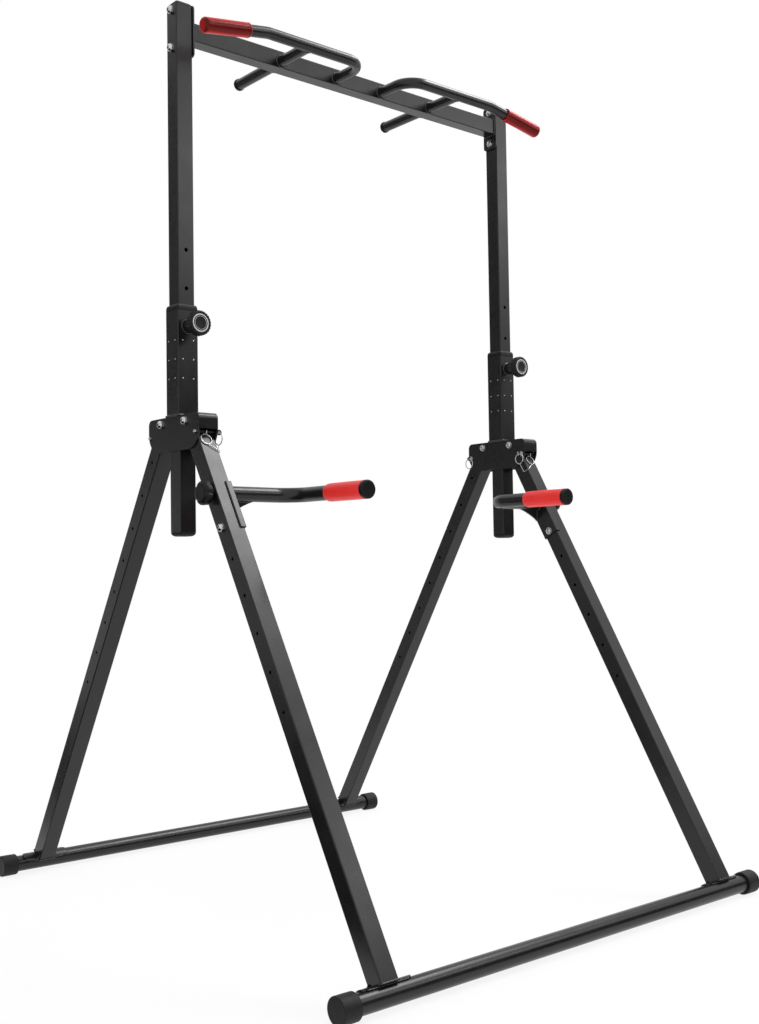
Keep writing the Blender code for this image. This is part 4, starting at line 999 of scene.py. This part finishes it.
def makeLockKnob():
    radius, length, edge = lockKnob["radius"], lockKnob["length"], lockKnob["edge"]
    profile = [(0.0, length - 0.0014), (radius * 0.44, length - 0.0014), (radius * 0.47, length - 0.001),
               (radius * 0.74, length - 0.001), (radius * 0.77, length - 0.0006), (radius * 0.79, length)]
    profile += [(radius - edge * (1 - sine) * 0.8, length - edge * (1 - cosine))
                for sine, cosine in quarter(6)]
    for step in range(1, 6):
        profile.append((radius - lockKnob["waist"] * math.sin(math.pi * step / 6),
                        length - edge - (length - 2 * edge) * step / 6))
    profile += [(radius - edge * (1 - cosine), edge * (1 - sine)) for sine, cosine in quarter(6)]
    tip = -lockKnob["plunger"]
    profile += [(0.0075, 0.0), (0.004, 0.0), (0.004, tip + 0.001), (0.0034, tip), (0.0, tip)]
    return placed(flutedKnob(profile, 240, lockKnob["flutes"], lockKnob["fluteDepth"], 0.86), lockPlace)


def makeLockRing():
    # printed band: a ring with a finer one inside it, sunk a little so that only its top shows
    face = lockKnob["length"] - 0.001
    low, high = face - 0.0002, face + lockKnob["ink"]
    bands = [turned([(outer, low), (outer, high), (inner, high), (inner, low)], 72, True)
             for outer, inner in lockKnob["rings"]]
    return placed(merged(*bands), lockPlace)


addPair("lock_knob_head_{side}", makeLockKnob(), mouldedNylon, "lock_knob_body_{side}", "lock_knob_{side}")
addPair("lock_knob_print_{side}", makeLockRing(), printedInk, "lock_knob_body_{side}")

print("hinge heads made")

# A-frames: legs, foot plates, floor tubes and rubber caps.

leg = {"width": 0.040, "wall": 0.002, "corner": 0.0025, "nose": 0.0103, "end": 0.018, "sheet": 0.003,
       "plateLength": 0.1145, "plateWrap": 37.0, "plateCorner": 0.011, "ear": 0.013, "earBack": 0.0145,
       "holeRadius": 0.0038, "holeStep": 0.0838, "firstHole": {"front": 0.339, "rear": 0.091},
       "holeCount": {"front": 5, "rear": 8}}
floorTube = {"radius": 0.019, "wall": 0.002}
footCap = {"length": 0.039, "edge": 0.002, "wall": 0.004}


def legFrame(end, distance):
    # the leg's own frame at a distance down from its pivot: x is world X, z runs up the leg
    lean = leanOf[end]
    up = Vector((0, -outward[end] * math.sin(lean), math.cos(lean)))
    place = Vector((postX, pivotOf[end].y, pivotOf[end].z)) - up * distance
    return axes(place, (1, 0, 0), up.cross(Vector((1, 0, 0))))


def legSpan(end):
    return math.hypot(footOf[end].y - pivotOf[end].y, pivotOf[end].z - footOf[end].z)


def saddleRadii():
    inner = floorTube["radius"] + clearance
    return inner, inner + leg["sheet"]


def makeLeg(end):
    below = legSpan(end) - leg["end"]
    pivot, foot, frameUp = pivotOf[end], footOf[end], legFrame(end, 0)
    tube = squareTube(leg["width"], leg["width"], leg["wall"], leg["corner"], -below, leg["nose"])
    trim = placed(prism([(-0.08, -0.12), (0.08, -0.12), (0.08, 0.12), (-0.08, 0.12)], 0.0, 0.1),
                  Matrix.Translation((postX, pivot.y, pivot.z + leg["nose"])))
    cuts = [trim, rodAcross((postX, foot.y, foot.z), 0.05, saddleRadii()[0] + leg["sheet"] / 2, 64),
            rodAcross((postX, pivot.y, pivot.z), 0.04, bracket["pivotHole"])]
    for step in range(leg["holeCount"][end]):
        down = -leg["firstHole"][end] - step * leg["holeStep"]
        ends = [frameUp @ Vector((x, 0, down)) for x in (-0.05, 0.05)]
        cuts.append(rod(*ends, leg["holeRadius"]))
    return softened(carved(placed(tube, frameUp), cuts), 0.0004)


def makeFootPlate(end):
    # a saddle of sheet wrapped round the floor tube, with a small ear against each side of the leg
    inner, outer = saddleRadii()
    wrap = leg["plateWrap"]
    centre = 90 + outward[end] * math.degrees(leanOf[end])
    sheet = arcPoints((0, 0), outer, centre - wrap, centre + wrap, 24)
    sheet += arcPoints((0, 0), inner, centre + wrap, centre - wrap, 24)
    across = axes((postX, footOf[end].y, footOf[end].z), alongY, upwards)
    curved = placed(prism(sheet, -leg["plateLength"], leg["plateLength"]), across)
    width = 2 * outer * math.sin(math.radians(wrap)) + clearance
    shape = placed(prism(roundedRect(leg["plateLength"], width, leg["plateCorner"], 8), 0.0, 2 * outer),
                   legFrame(end, legSpan(end)))
    plate = softened(carved(curved, [shape], "INTERSECT"), 0.0007, 3)
    ears = []
    root, rise, half = leg["width"] / 2 - 0.0008, leg["ear"], leg["sheet"] / 2
    back = -outward[end] * leg["earBack"]
    seat = legFrame(end, legSpan(end)) @ Matrix.Translation((0, back, math.sqrt(outer ** 2 - back ** 2)))
    for side in (-1, 1):
        loop = [(side * root, -0.002), (side * (root + rise), -0.002), (side * (root + rise), 0.0006),
                (side * root, rise)]
        ear = placed(prism(loop, -half, half), seat @ Matrix.Rotation(math.radians(90), 4, "X"))
        ears.append(softened(ear, 0.0005))
    return merged(plate, *ears)


def footWelds(end):
    # the bead follows the saddle where the leg stands on it, and runs along the saddle's long edges
    seat = legFrame(end, legSpan(end))
    outer = saddleRadii()[1]
    loop = squareSeam(leg["width"], leg["width"], leg["corner"])
    foot = []
    for a, b in loop:
        # beside the tube's crown the leg reaches down only to its own end
        rise = math.sqrt(max(outer ** 2 - b ** 2, 0.0)) if abs(b) < outer else 0.0
        foot.append(seat @ Vector((a, b, max(rise, leg["end"]) + 0.0004)))
    beads = [weld(foot, beadRadius["leg"], 31, depth=0.2, uneven=0.4)]
    wrap = math.radians(leg["plateWrap"])
    for side in (-1, 1):
        across, rise = side * outer * math.sin(wrap), outer * math.cos(wrap) - 0.002
        half = leg["plateLength"] / 2 - leg["plateCorner"]
        ends = [seat @ Vector((x, across, rise)) for x in (-half, half)]
        beads.append(weld(ends, beadRadius["footPlate"], 33 + side, cyclic=False, depth=0.2, uneven=0.4))
    return merged(*beads)


def makeFloorTube(end):
    centre = footOf[end]
    half = extent(f"{end}_floor_tube").x / 2
    radius, inner = floorTube["radius"], floorTube["radius"] - floorTube["wall"]
    profile = [(radius, -half), (radius, half), (inner, half), (inner, -half)]
    return placed(turned(profile, 64, True), along((0, centre.y, centre.z), alongX))


def makeFootCap(end):
    foot = footOf[end]
    radius, bore = foot.z, floorTube["radius"] + clearance
    edge, length, wall = footCap["edge"], footCap["length"], footCap["wall"]
    profile = [(0.0, -0.0002), (radius - 0.008, -0.0002), (radius - 0.0065, 0.0)]
    profile += [(radius - edge * (1 - sine), -edge * (1 - cosine)) for sine, cosine in quarter(8)]
    profile += [(radius, -length * 0.55), (radius - 0.0003, -length + 0.0018),
                (radius - 0.0012, -length + 0.0004), (radius - 0.0022, -length), (bore, -length),
                (bore, -wall), (0.0, -wall)]
    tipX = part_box(f"{end}_foot_cap_right")[1].x
    return placed(turned(profile, 72), along((tipX, foot.y, foot.z), alongX))


for end in ("front", "rear"):
    body = end + "_frame"
    addPair(end + "_leg_tube_{side}", makeLeg(end), powderCoat, body, end + "_leg_{side}")
    addPair(end + "_foot_plate_{side}", makeFootPlate(end), powderCoat, body)
    addPair(end + "_foot_welds_{side}", footWelds(end), weldCoat, body, sharp=80)
    addPiece(end + "_floor_bar", makeFloorTube(end), powderCoat, body, end + "_floor_tube")
    addPair(end + "_floor_cap_{side}", makeFootCap(end), floorRubber, body, end + "_foot_cap_{side}")

print("frames made")

# Dip handles: a bent tube on a saddle that hugs the leg, with a web under it.

dip = {"radius": 0.016, "bend": 0.053, "saddleAbove": 0.0165, "saddleBelow": 0.094, "flange": 0.012,
       "gussetLength": 0.062, "gussetHeight": 0.030, "gusset": 0.004, "gripRadius": 0.0195, "gripLength": 0.119,
       "capLength": 0.009, "capEdge": 0.0028, "sheet": 0.003}
dipKnobCentre = middle("dip_knob_right")
dipY, dipZ = dipKnobCentre.y, dipKnobCentre.z
dipX = middle("dip_grip_right").x
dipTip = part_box("dip_grip_right")[0].y
legInner, legOuter = postX - leg["width"] / 2, postX + leg["width"] / 2
webFace = legInner - clearance


def makeDipTube():
    corners = [(webFace - dip["sheet"] / 2, dipY, dipZ), (dipX, dipY, dipZ), (dipX, dipTip, dipZ)]
    return bentTube(corners, (0.0, dip["bend"], 0.0), dip["radius"], 36, 18)


def makeSaddle():
    pivotToDip = (pivotOf["front"].z - dipZ) / math.cos(leanOf["front"])
    centre = legFrame("front", pivotToDip + (dip["saddleBelow"] - dip["saddleAbove"]) / 2)
    length = dip["saddleAbove"] + dip["saddleBelow"]
    sheet = dip["sheet"]
    width = leg["width"] + 2 * (clearance + sheet)
    depth = dip["flange"] + clearance + sheet
    shift = Matrix.Translation((depth / 2 - sheet - clearance - leg["width"] / 2, 0, 0))
    block = placed(prism(roundedRect(depth, width, 0.0025, 6), -length / 2, length / 2), centre @ shift)
    inner = leg["width"] + 2 * clearance
    hollowShift = Matrix.Translation((depth / 2 - clearance - leg["width"] / 2, 0, 0))
    hollow = placed(prism(roundedRect(depth, inner, 0.0012, 4), -length, length), centre @ hollowShift)
    return softened(carved(block, [hollow]), 0.0006)


def makeGusset():
    edge = webFace - dip["sheet"] / 2
    low = dipZ - dip["radius"] - dip["gussetHeight"]
    reach = edge - dip["gussetLength"]
    rise = dipZ - dip["radius"] * 0.5
    sweep = [(reach, rise)]
    for sine, cosine in quarter(18):
        sweep.append((reach + dip["gussetLength"] * sine ** 1.7, low + dip["gussetHeight"] * cosine ** 1.7))
    sweep.append((edge, rise))
    half = dip["gusset"] / 2
    return softened(placed(prism(sweep, -half, half), axes((0, dipY, 0), alongX, upwards)), 0.0005)


addPair("dip_tube_{side}", makeDipTube(), powderCoat, "front_frame", "dip_handle_{side}")
addPair("dip_saddle_{side}", makeSaddle(), powderCoat, "front_frame")
addPair("dip_web_{side}", makeGusset(), powderCoat, "front_frame")


def dipWelds():
    face, under = webFace - dip["sheet"], dipZ - dip["radius"]
    beads = [weld(ringPath((face, dipY, dipZ), alongY, dip["radius"] + beadSeat), beadRadius["dip"], 41)]
    low, tip = under - dip["gussetHeight"], webFace - dip["gussetLength"] + 0.004
    for side in (-1, 1):
        across = dipY + side * dip["gusset"] / 2
        onSaddle = [(face, across, low + 0.002), (face, across, under)]
        onTube = [(face - 0.003, across, under), (tip, across, under)]
        beads.append(weld(onSaddle, beadRadius["web"], 43 + side, cyclic=False))
        beads.append(weld(onTube, beadRadius["web"], 46 + side, cyclic=False))
    return merged(*beads)


addPair("dip_welds_{side}", dipWelds(), weldCoat, "front_frame", sharp=80)


def makeDipGrip():
    outer, length = dip["gripRadius"], dip["gripLength"]
    bore = dip["radius"] + clearance
    profile = [(outer - 0.0012, 0.0), (outer - 0.0003, -0.0004), (outer, -0.0014)]
    for step in range(1, 16):
        # the extrusion bellies a little where it was pushed on
        share = step / 16
        belly = 0.0004 * (1 - math.sin(math.pi * share)) * 0.6
        profile.append((outer - belly, -0.0014 - (length - 0.008) * share))
    profile += [(outer - 0.0004, 0.005 - length), (outer - 0.0009, 0.0024 - length),
                (outer - 0.0018, 0.0007 - length), (bore + 0.0004, -length), (bore, -length), (bore, 0.0)]
    return placed(turned(profile, 48, True), along((dipX, dipTip, dipZ), -alongY))


def makeDipCap():
    outer, length, edge, bore = dip["gripRadius"], dip["capLength"], dip["capEdge"], dip["radius"] - 0.0025
    profile = [(0.0, length - 0.0003), (outer - 0.005, length - 0.0003), (outer - 0.0042, length)]
    profile += [(outer - edge * (1 - sine), length - edge * (1 - cosine)) for sine, cosine in quarter(6)]
    profile += [(outer, 0.0006), (outer - 0.0006, 0.0), (bore, 0.0), (bore, -0.003), (0.0, -0.003)]
    return placed(turned(profile, 48), along((dipX, dipTip - clearance, dipZ), -alongY))


addPair("dip_grip_sleeve_{side}", makeDipGrip(), softPvc, "front_frame", "dip_grip_{side}")
addPair("dip_grip_cap_{side}", makeDipCap(), mouldedNylon, "front_frame", "dip_end_cap_{side}")
dipBolt = makeBolt("dip_bolt_right", webFace - dip["sheet"], legOuter)
addPair("dip_bolt_set_{side}", dipBolt, zincPlate, "front_frame", "dip_bolt_{side}")

dipKnob = {"radius": 0.0255, "length": 0.026, "crown": 0.009, "edge": 0.003, "stud": 0.005,
           "studLength": 0.006, "lobes": 8, "lobeDepth": 0.0024}


def makeDipKnob():
    radius, length, edge = dipKnob["radius"], dipKnob["length"], dipKnob["edge"]
    neck, stud, tip = radius * 0.6, dipKnob["stud"], -dipKnob["studLength"]
    profile = [(0.0, length - 0.0004), (radius * 0.4, length - 0.0004), (radius * 0.46, length),
               (neck, length)]
    profile += [(neck + (radius * 0.4) * sine, length - dipKnob["crown"] * (1 - cosine))
                for sine, cosine in quarter(8, 1)]
    profile += [(radius, length * 0.55), (radius, length * 0.42)]
    profile += [(radius - edge * (1 - cosine), length * 0.42 - edge * sine) for sine, cosine in quarter(6, 1)]
    profile += [(neck + 0.001, length * 0.25), (neck, length * 0.2), (neck, 0.0),
                (stud, 0.0), (stud, tip), (0.0, tip)]
    lobed = flutedKnob(profile, 160, dipKnob["lobes"], dipKnob["lobeDepth"], 0.66)
    return placed(lobed, along((legOuter + clearance, dipY, dipZ), alongX))


addPair("dip_knob_head_{side}", makeDipKnob(), mouldedNylon, "dip_knob_body_{side}", "dip_knob_{side}")

print("dip handles made")

# Stop pins with their eyes and wire rings.

pinLook = {"radius": 0.004, "tip": 0.006, "collar": 0.0065, "collarLength": 0.0025, "eye": 0.006,
           "eyeHole": 0.0022, "eyeThick": 0.004, "ring": 0.013, "wire": 0.00125}
eyeX = plateInner - clearance - pinLook["collarLength"] - pinLook["eye"]


def makePin(end):
    y, z = middle(f"{end}_stop_pin_right").y, pinZ[end]
    base = plateInner - clearance
    reach = plateOuter + pinLook["tip"] - base
    radius, collar, collarEnd = pinLook["radius"], pinLook["collar"], -pinLook["collarLength"]
    profile = [(0.0, reach), (radius * 0.5, reach - 0.0001), (radius * 0.82, reach - 0.0008),
               (radius, reach - 0.0022),
               # the inner faces of both plates, where the painted shade on the shaft starts and ends
               (radius, plateOuter - bracket["sheet"] - base), (radius, bracket["sheet"] + clearance),
               (radius, 0.0), (collar - 0.0004, 0.0), (collar, -0.0004), (collar, 0.0004 + collarEnd),
               (collar - 0.0004, collarEnd), (0.0, collarEnd)]
    shaft = placed(turned(profile, 32), along((base, y, z), alongX))
    flat = axes((eyeX, y, z), alongX, upwards)
    half, thick = pinLook["eye"] * 0.8, pinLook["eyeThick"] / 2
    neck = pinLook["collarLength"] / 2 + pinLook["eye"]
    tab = placed(prism([(0.0, -half), (neck, -half), (neck, half), (0.0, half)], -thick, thick), flat)
    disc = placed(prism(polygon(pinLook["eye"], 36), -thick * 0.96, thick * 0.96), flat)
    hole = rod((eyeX, y - 0.01, z), (eyeX, y + 0.01, z), pinLook["eyeHole"])
    return softened(carved(carved(shaft, [tab, disc], "UNION"), [hole]), 0.00025)


def wireRing(centre, normal, radius, wire):
    circle = [(radius + x, y) for x, y in polygon(wire, 12)]
    return placed(turned(circle, 56, True), along(centre, normal))


# Between the plates the shafts take a darker, rougher steel: the dark colour is painted shade from the
# bracket's web above them, so they are duller there than at their ends.
paintedShadeSteel = surface("paintedShadeSteel", {
    "colour": "#2c2c2d", "tint": "#343435", "tintMm": 8.0,
    "speck": "#4a4a4b", "speckMm": 1.0, "speckShare": 0.3,
    "roughness": 0.36, "roughSpread": 0.05, "metallic": 1.0,
    "skinMm": 1.2, "skinDetail": 1.0, "skinStrength": 0.15, "skinDepth": 0.00005})


def paintShadeOnShaft(pin):
    # the faces between the plates get the darker steel, which is painted shade
    pin.data.materials.append(paintedShadeSteel)
    for face in pin.data.polygons:
        if plateInner + bracket["sheet"] < abs(face.center.x) < plateOuter - bracket["sheet"]:
            face.material_index = 1


for end in ("front", "rear"):
    addPair(end + "_stop_pin_set_{side}", makePin(end), zincPlate, end + "_stop_pin_body_{side}",
            end + "_stop_pin_{side}")
    for side in ("right", "left"):
        paintShadeOnShaft(bpy.data.objects[f"{end}_stop_pin_set_{side}"])
    centre = middle(f"{end}_pin_ring_right")
    addPair(end + "_wire_ring_{side}", wireRing(centre, (1, 0, 0), pinLook["ring"], pinLook["wire"]), zincPlate,
            end + "_pin_ring_body_{side}", end + "_pin_ring_{side}", sharp=60)

# A spare ring hangs on a link round the front pin and leans on the leg; a cord ties it to the pin's own ring.

spareRing = {"radius": 0.0125, "x": 0.4955, "y": -0.1199, "z": 1.0278, "linkRadius": 0.0062,
             "linkWire": 0.0011, "cord": 0.0009}


def makeSpareRing():
    down = Vector((0, -math.sin(leanOf["front"]), -math.cos(leanOf["front"])))
    facing = Vector((0, -math.cos(leanOf["front"]), math.sin(leanOf["front"])))
    centre = Vector((spareRing["x"], spareRing["y"], spareRing["z"]))
    ring = wireRing(centre, facing, spareRing["radius"], pinLook["wire"])
    hung = (spareRing["x"], middle("front_stop_pin_right").y - 0.0015, pinZ["front"] - 0.0015)
    link = wireRing(hung, alongX, spareRing["linkRadius"], spareRing["linkWire"])
    own = middle("front_pin_ring_right")
    start = (own.x + 0.0012, own.y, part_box("front_pin_ring_right")[0].z + 0.0012)
    finish = centre + down * spareRing["radius"] + facing * 0.001
    low = (own.x + 0.0075, own.y - 0.009, start[2] - 0.022)
    past = (legInner - 0.001, own.y - 0.022, start[2] - 0.015)  # in front of the leg's edge
    cord = bentTube([start, low, past, finish], (0.0, 0.003, 0.003, 0.0), spareRing["cord"], 10, 8)
    return merged(ring, link, cord)


addPair("spare_ring_{side}", makeSpareRing(), zincPlate, "hinge_head", sharp=60)

print("pins made")

# Floor, backdrop and light.


def seenWhite(tree):
    # 1 for the rays that see the white round the tower: the camera's, the gloss's and the glass's
    rays = addNode(tree, "ShaderNodeLightPath").outputs
    seen = rays["Is Camera Ray"]
    for kind in ("Is Glossy Ray", "Is Transmission Ray"):
        seen = addNode(tree, "ShaderNodeMath", {0: seen, 1: rays[kind]}, operation="MAXIMUM").outputs[0]
    return seen


floorLook = {"half": 24.0, "fadeFrom": 0.9, "fadeTo": 1.9, "leastFade": 0.86, "colour": "#f7f7f7"}


def makeFloor():
    # pale floor that keeps the soft shadow near the object and runs out to the white backdrop
    mesh = bpy.data.meshes.new("studio_floor")
    size = floorLook["half"]
    mesh.from_pydata([(-size, -size, 0), (size, -size, 0), (size, size, 0), (-size, size, 0)], [],
                     [(0, 1, 2, 3)])
    floor = newObject("studio_floor", mesh)
    made, tree = blankMaterial("paleFloor")
    where = addNode(tree, "ShaderNodeTexCoord").outputs["Object"]
    reach = addNode(tree, "ShaderNodeVectorMath", {0: where}, operation="LENGTH")
    fade = addNode(tree, "ShaderNodeMapRange", {
        "Value": reach.outputs["Value"], "From Min": floorLook["fadeFrom"], "From Max": floorLook["fadeTo"],
        "To Min": floorLook["leastFade"]}, interpolation_type="SMOOTHERSTEP")
    share = addNode(tree, "ShaderNodeMath", {0: fade.outputs[0], 1: seenWhite(tree)}, operation="MULTIPLY")
    pale = addNode(tree, "ShaderNodeBsdfDiffuse", {"Color": linear(floorLook["colour"])})
    white = addNode(tree, "ShaderNodeEmission", {"Color": (1, 1, 1, 1), "Strength": 1.0})
    both = addNode(tree, "ShaderNodeMixShader", {
        "Fac": share.outputs[0], 1: pale.outputs[0], 2: white.outputs[0]})
    addNode(tree, "ShaderNodeOutputMaterial", {"Surface": both.outputs[0]})
    mesh.materials.append(made)


def lightWorld(ambient):
    world = bpy.data.worlds.new("studio")
    scene.world = world
    world.use_nodes = True
    tree = world.node_tree
    tree.nodes.clear()
    level = addNode(tree, "ShaderNodeMapRange", {"Value": seenWhite(tree), "To Min": ambient, "To Max": 1.0})
    sky = addNode(tree, "ShaderNodeBackground", {"Color": (1, 1, 1, 1), "Strength": level.outputs[0]})
    addNode(tree, "ShaderNodeOutputWorld", {"Surface": sky.outputs[0]})


def softbox(name, place, aim, size, power):
    lamp = bpy.data.lights.new(name, "AREA")
    lamp.shape = "RECTANGLE"
    lamp.size, lamp.size_y = size
    lamp.energy = power
    made = newObject(name, lamp)
    made.matrix_world = (Matrix.Translation(Vector(place))
                         @ (Vector(aim) - Vector(place)).to_track_quat("-Z", "Y").to_matrix().to_4x4())


def darkCloth(name, dark, light):
    made, tree = blankMaterial(name)
    place = addNode(tree, "ShaderNodeTexCoord")
    weave = addNode(tree, "ShaderNodeTexNoise", {
        "Vector": place.outputs["Object"], "Scale": perMetre(40.0), "Detail": 2.0})
    tone = addNode(tree, "ShaderNodeMix", {
        "Factor": weave.outputs["Fac"], "A": linear(dark), "B": linear(light)}, data_type="RGBA")
    dull = addNode(tree, "ShaderNodeBsdfDiffuse", {"Color": tone.outputs["Result"]})
    addNode(tree, "ShaderNodeOutputMaterial", {"Surface": dull.outputs[0]})
    return made


def studioFlag(name, corners, cloth):
    # a dark panel outside the picture, which only the gloss knows of: the floor stays clean
    mesh = bpy.data.meshes.new(name)
    mesh.from_pydata(corners, [], [tuple(range(len(corners)))])
    mesh.materials.append(cloth)
    flag = newObject(name, mesh)
    flag.visible_camera = False
    flag.visible_diffuse = False
    flag.visible_shadow = False


def upright(start, end, low, high):
    # the corners of a panel that stands over a line on the floor
    return [(*start, low), (*end, low), (*end, high), (*start, high)]


makeFloor()
lightWorld(0.8)
softbox("overhead_softbox", (2.9, -1.2, 5.2), (0.1, -0.3, 0.8), (3.4, 1.4), 150)
softbox("front_softbox", (2.7, -3.9, 3.15), (0.0, 0.0, 1.5), (3.4, 0.7), 24)
cloth = darkCloth("blackCloth", "#020202", "#080808")
studioFlag("front_flag", [(-0.4, -5.1, 0), (5.6, -2.0, 0), (5.6, -2.0, 1.2), (-0.4, -5.1, 2.95)], cloth)
studioFlag("left_cloth", [(-0.7, -0.9, 0.003), (-0.68, 0.7, 0.003), (-0.8, 1.3, 0.003), (-1.6, 4.6, 0.003),
                          (-5.0, 4.6, 0.003), (-5.0, -0.9, 0.003)], cloth)
studioFlag("front_legs_flag", upright((-4, 3.7), (-4, 5.2), 0.2, 1.7), cloth)
studioFlag("rear_legs_flag", upright((-4, 6.4), (-4, 8.6), 0.2, 1.7), cloth)
studioFlag("grey_flag", upright((-4.2, 0.8), (-1.2, 4.8), 1.3, 3.7),
           darkCloth("greyCloth", "#747474", "#7c7c7c"))

scene.view_settings.view_transform = "Standard"
print("scene ready")
